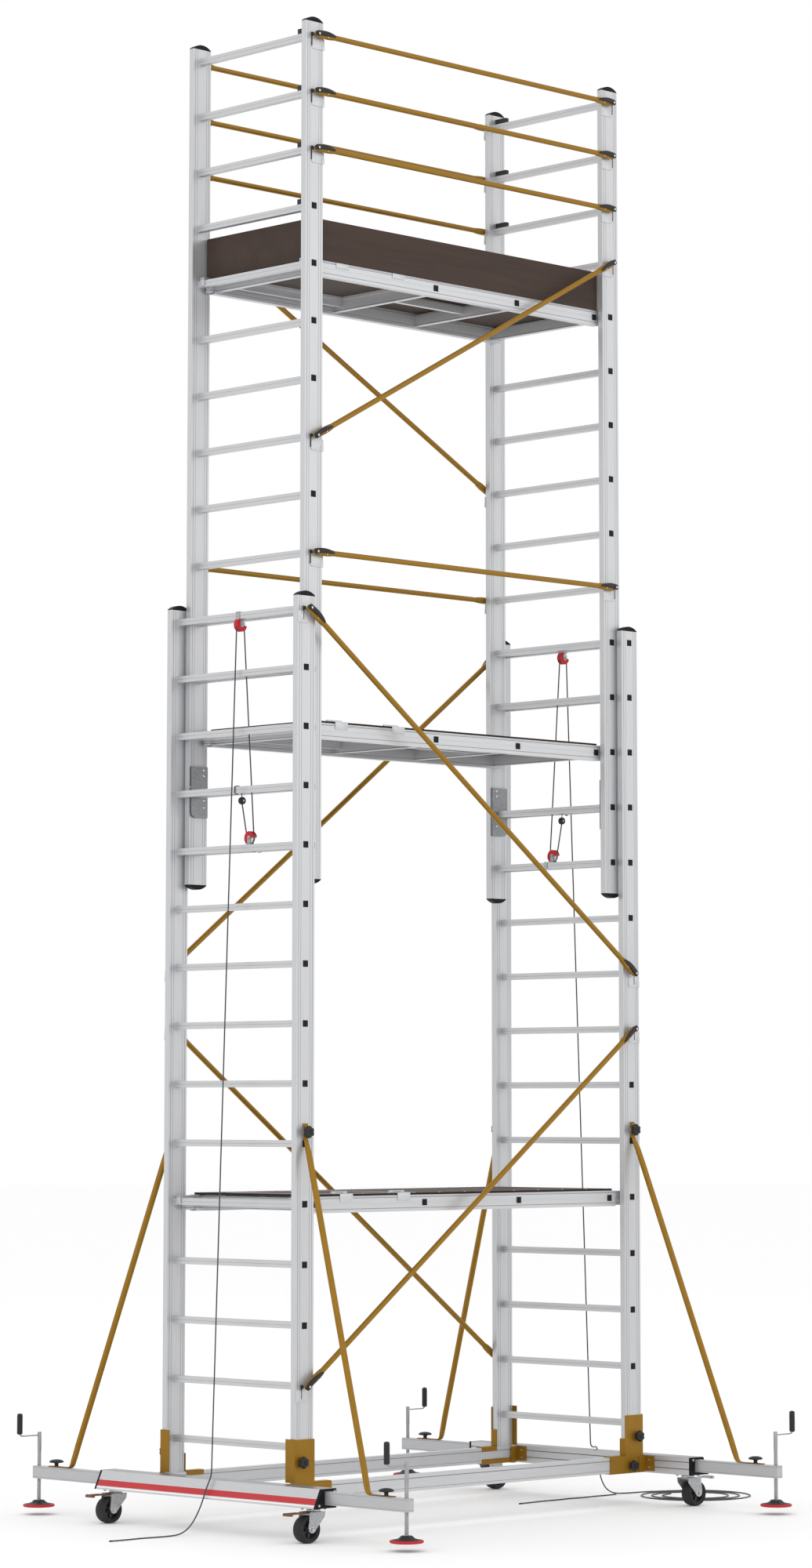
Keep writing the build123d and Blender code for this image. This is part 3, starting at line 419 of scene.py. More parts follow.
class Pile:
    """Shells that share a material and a body, gathered in one mesh."""

    def __init__(self, name, material, body, node=None, smooth=40):
        self.name, self.material, self.body = name, material, body
        self.node, self.smooth = node, smooth
        self.mesh = bmesh.new()

    def loft(self, rings, matrix, closed=False):
        """Joins rings of points, with an end face on each side unless the row of rings closes."""
        rows = [[self.mesh.verts.new(matrix @ Vector(p)) for p in ring] for ring in rings]
        count = len(rows[0])
        pairs = list(zip(rows, rows[1:]))
        if closed:
            pairs.append((rows[-1], rows[0]))
        for a, b in pairs:
            for i in range(count):
                j = (i + 1) % count
                self.mesh.faces.new((a[i], a[j], b[j], b[i]))
        if not closed:
            self.mesh.faces.new(list(reversed(rows[0])))
            self.mesh.faces.new(rows[-1])

    def lathe(self, profile, matrix, steps=32, wave=None, closed=False):
        """Turns (radius, height) points about z. A wave scales the radius by the angle and the height."""
        rings = []
        for r, z in profile:
            ring = []
            for i in range(steps):
                turn = TAU * i / steps
                k = wave(turn, r, z) if wave else 1.0
                ring.append((r * k * math.cos(turn), r * k * math.sin(turn), z))
            rings.append(ring)
        self.loft(rings, matrix, closed)

    def slab(self, outline, low, high, matrix, bevel=1.0):
        """An outline with its edges rounded, from z = low to z = high."""
        near, far = inset(outline, bevel), inset(outline, bevel * 0.3)
        rings = [(near, low), (far, low + 0.3 * bevel), (outline, low + bevel)]
        rings += [(outline, high - bevel), (far, high - 0.3 * bevel), (near, high)]
        self.loft([[(x, y, z) for x, y in ring] for ring, z in rings], matrix)

    def sweep(self, points, sections, matrix=Matrix.Identity(4), up=(0, 0, 1)):
        """Joins sections along points. Each section is a ring of (across, above) points."""
        rings = []
        spots = [Vector(p) for p in points]
        for i, (spot, section) in enumerate(zip(spots, sections)):
            ahead = spots[min(i + 1, len(spots) - 1)] - spots[max(i - 1, 0)]
            side = ahead.cross(Vector(up)).normalized()
            above = side.cross(ahead).normalized()
            rings.append([spot + side * a + above * b for a, b in section])
        self.loft(rings, matrix)

    def finish(self):
        """Turns the shells into an object that rides on its body."""
        bmesh.ops.remove_doubles(self.mesh, verts=self.mesh.verts, dist=1e-6)
        bmesh.ops.recalc_face_normals(self.mesh, faces=self.mesh.faces)
        data = bpy.data.meshes.new(self.name)
        self.mesh.to_mesh(data)
        self.mesh.free()
        data.materials.append(MATS[self.material])
        data.polygons.foreach_set("use_smooth", [True] * len(data.polygons))
        data.set_sharp_from_angle(angle=math.radians(self.smooth))
        obj = bpy.data.objects.new(self.name, data)
        link(obj)
        if self.node:
            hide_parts(self.node)
        if self.body:
            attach(obj, self.body)
        return obj


def inset(outline, distance):
    """An outline moved inwards by a distance, corner by corner."""
    area = sum(a[0] * b[1] - b[0] * a[1] for a, b in zip(outline, outline[1:] + outline[:1]))
    sign = 1 if area > 0 else -1
    moved = []
    for i, here in enumerate(outline):
        before, after = Vector(outline[i - 1]), Vector(outline[(i + 1) % len(outline)])
        here = Vector(here)
        a, b = (here - before).normalized(), (after - here).normalized()
        normal = Vector((-(a.y + b.y), a.x + b.x)) * sign
        normal = normal.normalized() if normal.length > 1e-9 else Vector((0, 0))
        slant = max(0.35, Vector((-a.y, a.x)).dot(normal) * sign)
        moved.append(tuple(here + normal * distance / slant))
    return moved


def oblong(half_x, half_y, radius, steps=4):
    """A rectangle with round corners."""
    points = []
    for k, (sx, sy) in enumerate(((1, 1), (-1, 1), (-1, -1), (1, -1))):
        for i in range(steps + 1):
            turn = math.pi / 2 * (k + i / steps)
            points.append((sx * (half_x - radius) + radius * math.cos(turn),
                           sy * (half_y - radius) + radius * math.sin(turn)))
    return points


def circle(x, y, radius, steps=10):
    """Points round a circle, for a ring's section."""
    turns = [TAU * i / steps for i in range(steps)]
    return [(x + radius * math.cos(turn), y + radius * math.sin(turn)) for turn in turns]


def box(left, right, low, high):
    """A rectangle's corners."""
    return [(left, low), (right, low), (right, high), (left, high)]


def both_ways(half):
    """Half a profile, and its mirror image below z = 0."""
    return half + [(r, -z) for r, z in reversed(half)]


def ellipse_section(a, b, power, steps=20):
    """A ring between an ellipse (power 2) and a flat bar (power 4 and more)."""
    ring = []
    for i in range(steps):
        c, s = math.cos(TAU * i / steps), math.sin(TAU * i / steps)
        k = (abs(c) ** power + abs(s) ** power) ** (-1 / power)
        ring.append((a * k * c, b * k * s))
    return ring


# ---------------- braces and snap hooks
def brace_runs():
    """Each brace: its line, half width, (rung at A, rung at B) and side. Uppers come first."""
    upper = [(UPPER_X, UPPER_BRACE_Y, (n, n), end) for n in GUARD_RUNGS for end in (-1, 1)]
    upper += [(UPPER_X, UPPER_BRACE_Y, (18, 22), -1), (UPPER_X, UPPER_BRACE_Y, (22, 18), 1)]
    lower = []
    for a, b in ((15, 9), (2, 8)):
        lower += [(LOWER_X, LOWER_BRACE_Y, (a, b), -1), (LOWER_X, LOWER_BRACE_Y, (b, a), 1)]
    return upper, lower


def brace(pile, run):
    """A tube between its two hooks, with a rolled edge at each end."""
    line_x, half, (rung_a, rung_b), end = run
    start = Vector((-line_x, end * half, rung_z(rung_a)))
    stop = Vector((line_x, end * half, rung_z(rung_b)))
    along = (stop - start).normalized()
    length = (stop - start).length / MM
    profile = [(0.01, 50), (10, 50), (12, 60), (12.6, 90), (13, 112)]
    mirrored_end = [(r, length - z) for r, z in reversed(profile)]
    pile.lathe(profile + mirrored_end, place(start, x_dir=(0, end, 0), z_dir=along), 24)


def hook_frame(run, side):
    """The frame at a brace's end: x along the brace, z away from the tower."""
    line_x, half, pair, end = run
    here = Vector((side * line_x, end * half, rung_z(pair[0 if side < 0 else 1])))
    there = Vector((-side * line_x, end * half, rung_z(pair[1 if side < 0 else 0])))
    return place(here, x_dir=there - here, z_dir=(0, end, 0))


def oval_ring(x, y, z, half_y, half_z, steps=16):
    """A rounded box section across a hook, at a place along it."""
    ring = ellipse_section(half_y, half_z, 3.2, steps)
    return [(x, y + a, z + b) for a, b in ring]


def snap_hook(piles, run, side):
    """Cast body that flares from the tube, black trigger over it with a black ring, and a bright pin and
    small rivet.
    """
    matrix = hook_frame(run, side)
    lift = 1 if (matrix.to_3x3() @ Vector((0, 1, 0))).z > 0 else -1
    body = [(-14, 5, 4.5), (-12.5, 9, 6.5), (-8, 13, 7), (0, 15.5, 7.2), (24, 16.5, 7.2), (40, 17, 8),
            (56, 17.2, 10), (74, 17, 13), (92, 15.6, 14.4), (106, 14.2, 14.2), (114, 13.3, 13.3)]
    piles["body"].loft([oval_ring(x, 0, 0, a, b, 20) for x, a, b in body], matrix)
    trigger = [(-14.5, 1, 10, 9, 5), (-13, 1, 11.5, 12.5, 6), (-6, 2, 12.8, 13.5, 6), (10, 4, 13, 13.5, 6),
               (24, 7, 13, 12, 6), (44, 7.5, 15, 11.5, 6), (64, 6.5, 17, 10.5, 5), (84, 4.5, 18, 8.5, 4),
               (100, 2, 17.4, 6.5, 3), (109, 0, 16.6, 4, 2)]
    rings = [oval_ring(x, lift * y, z, a, b) for x, y, z, a, b in trigger]
    piles["trigger"].loft(rings, matrix)
    piles["trigger"].lathe(circle(8.8, 18.0, 2.0), matrix, 28, closed=True)
    pin_in = -(run[1] - (UPPER_FACE if run[0] == UPPER_X else LOWER_FACE)) / MM + 3
    pin = [(0.01, pin_in), (5, pin_in), (5, 18), (6.4, 18.6), (6.0, 20.6), (3.6, 21.8), (0.01, 22.2)]
    piles["bright"].lathe(pin, matrix, 20)
    piles["bright"].lathe([(0.01, 0), (3.4, 0), (3.0, 1.4), (0.01, 1.9)],
                          matrix @ Matrix.Translation((66, -lift * 8, 12)), 12)


def stile_band(piles, run, side):
    """The aluminium band that carries the hook's pin: a plate with a turned lip, and a black strip beside its
    head that is painted shade for the gap shadow there.
    """
    line_x, _, pair, end = run
    z = rung_z(pair[0 if side < 0 else 1])
    inner = line_x == UPPER_X
    face = UPPER_FACE if inner else LOWER_FACE
    matrix = mirrored(side, end) @ place((line_x, face, z), z_dir=(0, 1, 0))
    hand = -1 if inner else 1
    edge = 62 if inner else 57
    plate = [(-20, 14), (edge, 14), (edge, 40), (edge, 70), (-10, 70), (-17, 67), (-20, 60)]
    lip, head = box(edge - 16, edge, 44, 70), box(-17, 17, -12, 14)
    for outline, low, high, bevel in ((plate, 0.05, 3.4, 0.8), (lip, 3.4, 5.0, 0.6), (head, 0.05, 3.4, 0.8)):
        piles["band"].slab([(hand * x, y) for x, y in outline], low, high, matrix, bevel)
    # Painted shade: a thin black strip for the gap shadow beside the head.
    piles["trigger"].slab(box(18, 21.5, 6, 56), 0.3, 4.4, matrix, 0.3)
    piles["trigger"].slab(box(12, 24, -9, 9), 0.3, 9.0, matrix, 0.8)


def build_braces():
    """Guard rails and upper braces on the sliding section, lower braces on the root."""
    upper, lower = brace_runs()
    for name, runs, body, node, hooks in (
            ("guard_rail_tubes", upper, "upper_section", "guard_rails", "upper_brace_hooks"),
            ("lower_brace_tubes", lower, "root", "lower_braces", "lower_brace_hooks")):
        tubes = Pile(name, "gold_x", body, node)
        part = name.split("_")[0]
        piles = {key: Pile(part + ending, material, body, hooks) for key, ending, material in (
            ("body", "_hook_bodies", "gold"), ("trigger", "_hook_triggers", "black"),
            ("bright", "_hook_rings", "steel"), ("band", "_stile_bands", "alu"))}
        for run in runs:
            brace(tubes, run)
            for side in (-1, 1):
                snap_hook(piles, run, side)
                stile_band(piles, run, side)
        for pile in (tubes, *piles.values()):
            pile.finish()


# ---------------- knobs, stays and jacks
def star_knob(pile, matrix, radius, height=30):
    """A six-lobed knob with a dished top and a collar."""
    def lobes(turn, r, z):
        return 1 - 0.18 * (1 - math.cos(6 * turn)) * 0.5 * min(1, r / radius * 1.2)

    pile.lathe([(0.01, 0), (11, 0), (11.5, 1), (11.5, 8), (0.01, 8)], matrix, 24)
    profile = [(0.01, 7), (radius * 0.7, 7), (radius - 2.5, 8.5), (radius, 11), (radius, height - 5),
               (radius - 2, height - 1.5), (radius - 6, height), (radius * 0.42, height - 0.5),
               (radius * 0.36, height - 3), (0.01, height - 3)]
    pile.lathe(profile, matrix, 48, lobes)


def build_knobs():
    """Star knobs of the brackets and the stays, with their bolts."""
    knobs = Pile("star_knobs", "black", "root", "clamp_knobs")
    ends = Pile("knob_bolt_ends", "black", "root", "clamp_knobs")
    bolts = Pile("knob_bolts", "steel", "root", "clamp_knobs")
    for _, side, end in CORNERS:
        corner = mirrored(side, end)
        spots = ((1.149, 0.470, 0.340, 27.5), (1.108, 0.470, 0.196, 27.5), (LOWER_X, 0.4745, KNOB_Z, 29))
        for x, y, z, radius in spots:
            matrix = corner @ facing_back(x, y, z)
            star_knob(knobs, matrix, radius)
            ends.lathe([(0.01, 26.5), (7, 26.5), (6.4, 29.0), (3, 30.5), (0.01, 30.8)], matrix, 20)
        bolts.lathe([(0.01, 0), (10, 0), (10, 2.6), (4.9, 2.6), (4.9, 11), (0.01, 11)],
                    corner @ facing_back(LOWER_X, LOWER_FACE, KNOB_Z), 24)
    for pile in (knobs, ends, bolts):
        pile.finish()


def stay_path(side, end):
    """The stay's centre line: flat tab on the stile, straight tube, and a bend into the foot strip."""
    points = [(1.1274, 0.4712, 1.899), (1.1274, 0.4712, 1.860), (1.1274, 0.4714, 1.832),
              (1.1300, 0.4800, 1.806), (1.1345, 0.4990, 1.765), (1.1410, 0.5260, 1.690),
              (1.2548, 1.0010, 0.344), (1.2590, 1.0165, 0.296), (1.2612, 1.0250, 0.272),
              (1.2624, 1.0300, 0.256), (1.2630, 1.0370, 0.2440), (1.2630, 1.0480, 0.2385),
              (1.2630, 1.0640, 0.2370), (1.2630, 1.2010, 0.2368)]
    return [(side * x, end * y, z) for x, y, z in points]


def build_stay(corner, side, end):
    """Tube pressed flat at both ends, and the mushroom knob on its foot."""
    # Half width, half thickness and squareness of the section at each point of the path.
    sizes = [(13, 3.0, 4), (13, 3.0, 4), (13, 3.2, 4), (13.5, 5.5, 3), (14.5, 11, 2.6), (14, 14, 2.3),
             (14, 14, 2.3), (14, 13, 2.4), (14.4, 11, 2.6), (14.8, 7.5, 3), (15, 4.6, 4), (15, 2.8, 5),
             (15, 2.2, 6), (15, 2.2, 6)]
    tube = Pile("stay_tube_" + corner, "gold", "stay_" + corner, "stay_" + corner)
    sections = [[(a * MM, b * MM) for a, b in ellipse_section(*size)] for size in sizes]
    tube.sweep(stay_path(side, end), sections, up=(0, end, 0.0001))
    tube.finish()
    knob = Pile("clamp_knob_" + corner, "black", "stay_" + corner, "stay_" + corner)
    matrix = place((side * ARM_X, end * 1.153, 0.2386))

    def scallop(turn, r, z):
        return 1 - 0.035 * (1 - math.cos(10 * turn)) * (r > 30)

    dome = [(0.01, 0), (11, 0), (10, 4), (9.5, 12), (14, 15), (30, 17), (35, 18.5), (36, 21), (34.5, 24.5),
            (27, 29), (17, 31.8), (8, 32.8), (0.01, 33)]
    knob.lathe(dome, matrix, 60, scallop)
    knob.finish()


def threaded_bar(pile, matrix, radius, low, high, pitch=7.0, depth=1.8, steps=20):
    """A trapezoid screw thread on a bar."""
    rings = []
    count = int((high - low) / pitch * 6)
    for k in range(count + 1):
        z = low + (high - low) * k / count
        ring = []
        for i in range(steps):
            phase = (z / pitch - i / steps) % 1.0
            tooth = min(1.0, max(0.0, 3.2 * abs(phase - 0.5) - 0.25))
            r = radius - depth * (1 - tooth)
            ring.append((r * math.cos(TAU * i / steps), r * math.sin(TAU * i / steps), z))
        rings.append(ring)
    pile.loft(rings, matrix)


def build_jack(corner, side, end):
    """Threaded spindle with crank and grip; below, the cone and its rubber pad."""
    screw = "jack_screw_" + corner
    spindle = Pile("jack_spindle_" + corner, "spindle", screw, screw, smooth=60)
    axis = place((side * ARM_X, end * JACK_Y, 0), x_dir=(side, 0, 0))
    threaded_bar(spindle, axis, 10, 56, 306)
    spindle.lathe([(9, 305.5), (9.9, 307), (9.9, 395), (8.6, 397), (0.01, 397)], axis, 24)
    crank = [(0, 0, 381), (60, 0, 381), (104, 0, 381), (117, 0, 382.5), (123.5, 0, 388), (125, 0, 397),
             (125, 0, 440), (125, 0, 493)]
    spindle.sweep(crank, [circle(0, 0, 3.4, 12)] * len(crank), axis, up=(0, 1, 0))
    spindle.finish()
    grip = Pile("jack_grip_" + corner, "black", screw, screw)
    rings = [(3.7, 390), (10, 390), (12.5, 391.5), (13, 396)]
    for k in range(7):
        z = 402 + 12 * k
        rings += [(13.9, z - 4), (13.9, z + 4), (13.2, z + 5), (13.2, z + 7)]
    rings += [(13, 486), (11.5, 489), (8, 490), (3.7, 490)]
    grip.lathe(rings, axis @ Matrix.Translation((125, 0, 0)), 28)
    grip.finish()
    foot = "jack_foot_" + corner
    cone = Pile("jack_cone_" + corner, "black", foot, foot)

    def ribs(turn, r, z):
        return 1 - 0.06 * (1 - math.cos(10 * turn)) * (26 < r < 58) * (z < 68)

    # Painted shade: a thin black disc under the red pad, for the dark line beneath it; it also keeps red
    # light off the floor.
    cone.lathe([(0.01, 36.7), (66, 36.7), (68, 37.6), (66, 38.4), (0.01, 38.4)], axis, 60)
    profile = [(0.01, 47.2), (61, 47.2), (62.5, 49), (59, 52), (46, 55), (38, 58.5), (32, 63), (28, 67),
               (25.5, 69.2), (23.5, 69.4), (11.5, 69), (11, 67), (11, 56), (0.01, 56)]
    cone.lathe(profile, axis, 60, ribs)
    cone.finish()
    pad = Pile("jack_pad_" + corner, "red", foot, foot)
    edge = [(70 + 7.5 * math.cos(math.pi * (i / 8 - 0.5)), 43.8 + 6.8 * math.sin(math.pi * (i / 8 - 0.5)))
            for i in range(9)]
    pad.lathe([(0.01, 37), (58, 37)] + edge + [(66, 49.8), (64, 48), (62, 46.8), (0.01, 46.8)], axis, 72)
    pad.finish()


# ---------------- castors
def build_castor(corner, side, end):
    """Tyre with a round crown, spoked hub, axle nuts, swivel bearing, and ribs on the pedal."""
    wheel = "castor_wheel_" + corner
    axis = facing_back(side * WHEEL_X, end * CASTOR_Y, WHEEL_Z)
    tyre = Pile("tyre_" + corner, "tyre", wheel, wheel)
    crown = [(55.5 + 7 * math.sin(math.pi * i / 10), 31 * math.cos(math.pi * i / 10)) for i in range(11)]
    tyre.lathe([(47, 26), (50, 29)] + crown + [(50, -29), (47, -26)], axis, 72, closed=True)
    tyre.finish()
    hub = Pile("hub_" + corner, "hub", wheel, wheel)
    rim = [(47, 25.5), (44.5, 26.5), (42.5, 24), (41.5, 6)]
    core = [(6.1, 31), (15, 31), (17, 28), (18, 6)]
    for half, steps in ((rim, 60), (core, 36)):
        hub.lathe(both_ways(half), axis, steps, closed=True)
    for k in range(6):
        spoke = axis @ Matrix.Rotation(TAU * k / 6, 4, "Z")
        hub.slab([(16.5, -5.5), (42.5, -4), (42.5, 4), (16.5, 5.5)], -14, 14, spoke, 1.2)
    hub.lathe(both_ways([(17, 2.5), (42.5, 2.5)]), axis, 60, closed=True)
    hub.finish()
    fork = "castor_fork_" + corner
    bearing = Pile("swivel_bearing_" + corner, "steel", fork)
    swivel = place((side * SWIVEL_X, end * CASTOR_Y, 0))
    bearing.lathe([(30.2, 143), (32, 144), (33, 147), (32, 150), (30.2, 151)], swivel, 48, closed=True)
    for flip in (-1, 1):
        nut = place((side * WHEEL_X, end * CASTOR_Y, WHEEL_Z), x_dir=(0, 0, 1), z_dir=(0, flip, 0))
        bearing.lathe([(0.01, 43.9), (5.8, 43.9), (5.8, 46.4), (4.8, 47.4), (0.01, 47.4)], nut, 16)
        bearing.lathe([(10, 38.05), (15, 38.05), (14, 39.6), (10, 39.6)], nut, 28, closed=True)
    bearing.finish()
    ribs = Pile("pedal_ribs_" + corner, "pedal" if side < 0 else "zinc", "brake_pedal_" + corner)
    tread = place((side * 1.303, end * CASTOR_Y, 0.1395), x_dir=(side, 0, 0))
    for x in (78, 92, 106, 120):
        ribs.slab(box(x - 2.5, x + 2.5, -18, 18), 0.02, 2.2, tread, 0.8)
    for x in (133, 139):
        ribs.slab(box(x - 1.6, x + 1.6, -24, 24), 0.02, 1.8, tread, 0.6)
    ribs.finish()


# ---------------- hoist and ropes
# The haul ropes' routes and the coil, in millimetres.
ROPE_A = [(-1151.4, 0, 4281), (-1312, -30, 264), (-1341, -26, 206), (-1361, -20, 142), (-1393, -17, 82),
          (-1437, -20, 35), (-1496, -27, 8), (-1560, -30, 4), (-1642, -22, 3.6), (-1732, -8, 3.6),
          (-1826, -15, 3.6), (-1918, -9, 3.6)]
ROPE_B = [(1151.4, 0, 4281), (1205, -98, 270), (1252, -74, 257), (1311, -42, 259), (1347, -20, 206),
          (1365, -6, 143), (1389, 1, 82), (1430, 6, 33), (1488, 7, 8), (1558, 4, 4), (1640, -4, 3.6),
          (1716, -10, 3.6)]
ROPE_B_TAIL = [(1496, -2, 3.6), (1424, -12, 3.6), (1336, -5, 3.6), (1240, -11, 3.6), (1142, -3, 3.6),
               (1046, -13, 3.6), (950, -7, 3.6), (854, -18, 3.6), (760, -24, 3.6)]
COIL_CENTRE = (1720, -330)
COIL_TURNS = 3
WHIPPING_TIP = 9.3
ROPE_D = 0.0066


def coil_points():
    """Three loose flat turns, wound inwards clockwise from the back of the coil."""
    points = []
    outer, inner, waver = 319, 151, 4
    steps = 15 * COIL_TURNS
    for i in range(2, steps + 1):
        share = i / steps
        turn = math.pi / 2 - TAU * COIL_TURNS * share
        radius = outer - (outer - inner) * share + waver * math.sin(5.3 * turn) * share
        points.append((COIL_CENTRE[0] + radius * math.cos(turn),
                       COIL_CENTRE[1] + radius * math.sin(turn), 3.6))
    return points


def add_taut_point(points):
    """One more point on the long straight strand, close above its first bend."""
    first, second = Vector(points[0]), Vector(points[1])
    near = second + (first - second).normalized() * 45
    return [points[0], tuple(near)] + points[1:]


def rope_curve(name, points, nodes):
    """A haul rope along its route, as one smooth spline."""
    data = bpy.data.curves.new(name, "CURVE")
    data.dimensions = "3D"
    data.bevel_depth = ROPE_D / 2
    data.bevel_resolution = 4
    data.resolution_u = 10
    data.use_fill_caps = True
    spline = data.splines.new("NURBS")
    spline.points.add(len(points) - 1)
    for point, (x, y, z) in zip(spline.points, points):
        point.co = (x * MM, y * MM, z * MM, 1)
    spline.order_u = 3
    spline.use_endpoint_u = True
    data.materials.append(MATS["rope"])
    obj = bpy.data.objects.new(name, data)
    link(obj)
    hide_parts(*nodes)
    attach(obj, "root")
    return obj


def whipping(name, point, direction):
    """The wound end of a rope: a bound sleeve a little thicker than the rope, flush with its end."""
    pile = Pile(name, "black", "root")
    matrix = place([c * MM for c in point], x_dir=(0, 0, 1), z_dir=direction)
    matrix = matrix @ Matrix.Translation((0, 0, -WHIPPING_TIP))
    profile = [(0.01, -8)]
    for k in range(6):
        profile += [(3.35, -8 + 2.7 * k), (3.55, -7.2 + 2.7 * k), (3.55, -6.2 + 2.7 * k)]
    profile += [(2.4, 9), (0.01, 9.4)]
    pile.lathe(profile, matrix, 20)
    return pile.finish()


def build_ropes():
    """The haul ropes, each with its wound end."""
    path_a = add_taut_point(ROPE_A)
    rope_a = rope_curve("haul_line_a", path_a, ["haul_rope_a"])
    end_a = whipping("rope_end_a", ROPE_A[-1], Vector((-1, 0.05, 0)))
    path_b = add_taut_point(ROPE_B) + coil_points()
    rope_b = rope_curve("haul_line_b", path_b, ["haul_rope_b", "rope_coil_b"])
    last, before = Vector(path_b[-1]), Vector(path_b[-2])
    end_b = whipping("rope_end_b", path_b[-1], last - before)
    tail = rope_curve("haul_line_b_tail", ROPE_B_TAIL, ["haul_rope_b"])
    end_tail = whipping("rope_end_tail", ROPE_B_TAIL[-1], Vector((-1, -0.06, 0)))


def strand(name, start, stop):
    """A straight hoist strand from start to stop; on the real tower it lengthens as the upper section goes
    down.
    """
    pile = Pile(name, "rope", None, "lift_ropes")
    start, stop = Vector(start), Vector(stop)
    points = [start.lerp(stop, i / 24) for i in range(25)]
    pile.sweep(points, [circle(0, 0, ROPE_D / 2, 12)] * len(points), up=(0, 1, 0))
    obj = pile.finish()
    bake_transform(obj)


def rope_arc(pile, matrix, low, high, steps=16):
    """Rope round part of a sheave, between two angles in the sheave's own plane."""
    points = []
    for i in range(steps + 1):
        turn = low + (high - low) * i / steps
        points.append((SHEAVE_R / MM * math.cos(turn), SHEAVE_R / MM * math.sin(turn), 0))
    pile.sweep(points, [circle(0, 0, ROPE_D / 2 / MM, 12)] * len(points), matrix)


def guard_arc(pile, matrix, low, high, inner, near, far):
    """Part of a pulley's red guard, from angle low to high in degrees."""
    rings = []
    outer = 33
    steps = max(3, int((high - low) / 10))
    for i in range(steps + 1):
        turn = math.radians(low + (high - low) * i / steps)
        c, s = math.cos(turn), math.sin(turn)
        rings.append([(r * c, r * s, z) for r, z in box(inner, outer, near, far)])
    pile.loft(rings, matrix)


def pulley(piles, matrix, first, webs):
    """White sheave between red crescent guards, with webs where no rope passes, and an axle."""
    groove = [(4.2, 7.4), (26, 7.4), (26.8, 6.6), (26.8, 5.2), (22, 3), (20.4, 0), (22, -3),
              (26.8, -5.2), (26.8, -6.6), (26, -7.4), (4.2, -7.4)]
    piles["white"].lathe(groove, matrix, 48, closed=True)
    for near, far in ((9.0, 11.4), (-11.4, -9.0)):
        guard_arc(piles["red"], matrix, first, first + 250, 13, near, far)
    for low, high in webs:
        guard_arc(piles["red"], matrix, low, high, 29, -9.0, 9.0)
    piles["zinc"].lathe([(0.01, -15), (4, -15), (4, 15), (0.01, 15)], matrix, 20)
    for flip in (1, -1):
        nut = matrix @ Matrix.Diagonal((1, 1, flip, 1))
        profile = [(4, 13.6), (8, 13.6), (8, 16.6), (6.6, 17.4), (4, 17.4)]
        piles["zinc"].lathe(profile, nut, 6, closed=True)


def cheeks(pile, matrix, reach):
    """The two plates that hold a pulley's axle, up or down from it."""
    sign = 1 if reach > 0 else -1
    outline = [(-10, reach), (-10, -4 * sign), (-7, -10 * sign), (0, -12.5 * sign), (7, -10 * sign),
               (10, -4 * sign), (10, reach)]
    for low in (11.6, -13.4):
        pile.slab(outline, low, low + 1.8, matrix, 0.4)


def hoist_piles(name, body, node):
    """One pile for each material of a pulley block."""
    kinds = ("white", "red", "zinc", "rope", "black")
    return {kind: Pile(f"{name}_{kind}_parts", kind, body, node) for kind in kinds}


def build_top_block(piles, side):
    """Strap over rung 15, cheeks, pulley, and the rope's round block hung from rung 12."""
    strap = turned(side) @ facing_front(LOWER_X, 0, rung_z(15))
    outline = [(-19.6, -18), (-19.6, 19.6), (19.6, 19.6), (19.6, -18), (16.2, -18), (16.2, 16.2),
               (-16.2, 16.2), (-16.2, -18)]
    piles["zinc"].slab(outline, -13.6, 13.6, strap, 0.5)
    axis = facing_front(side * LOWER_X, 0, TOP_SHEAVE_Z)
    cheeks(piles["zinc"], axis, 27.6)
    pulley(piles, axis, 100, ((100, 205), (235, 305)))
    rope_arc(piles["rope"], axis, 0, math.pi)
    block = turned(side) @ facing_front(1.0985, -0.014, 3.436)
    piles["black"].lathe(both_ways([(0.01, 11), (12, 11), (16.5, 9.5), (18, 6.5)]), block, 36)
    piles["zinc"].lathe([(0.01, 11), (5.5, 11), (5, 13), (0.01, 13.4)], block, 16)
    piles["zinc"].lathe([(0.01, -13.4), (5, -13), (5.5, -11), (0.01, -11)], block, 16)
    wire = [(x, -14, z) for x, z in (
        (1098.5, 3452), (1101, 3468), (1105.5, 3482), (1107.6, 3496), (1109.5, 3502.6), (1116, 3504.4),
        (1138, 3504.4), (1144.6, 3502.6), (1146.6, 3496), (1146.6, 3474), (1144.6, 3467.6), (1138, 3465.8),
        (1124, 3465.8))]
    piles["black"].sweep(wire, [circle(0, 0, 2.2)] * len(wire), turned(side) @ Matrix.Scale(MM, 4), (0, 1, 0))


def build_lift_block(piles, side):
    """Bracket over the sliding ladder's rung 11, and its pulley in the gap between the ladders."""
    x, y, z = LIFT_SHEAVE
    strap = turned(side) @ facing_front(UPPER_X, y, rung_z(11))
    outline = [(-19.6, -18), (-19.6, 19.6), (54, 19.6), (54, -14), (50.4, -14), (50.4, 16.2), (19.6, 16.2),
               (19.6, -18), (16.2, -18), (16.2, 16.2), (-16.2, 16.2), (-16.2, -18)]
    piles["zinc"].slab(outline, -11, 11, strap, 0.5)
    axis = turned(side) @ place((x, y, z), x_dir=(0, 1, 0), z_dir=(1, 0, 0))
    cheeks(piles["zinc"], axis, -31)
    if side < 0:
        pulley(piles, axis, 5, ((5, 25), (55, 125), (155, 255)))
    else:
        pulley(piles, axis, -75, ((-75, 25), (55, 125), (155, 175)))
    rope_arc(piles["rope"], axis, math.pi, TAU)


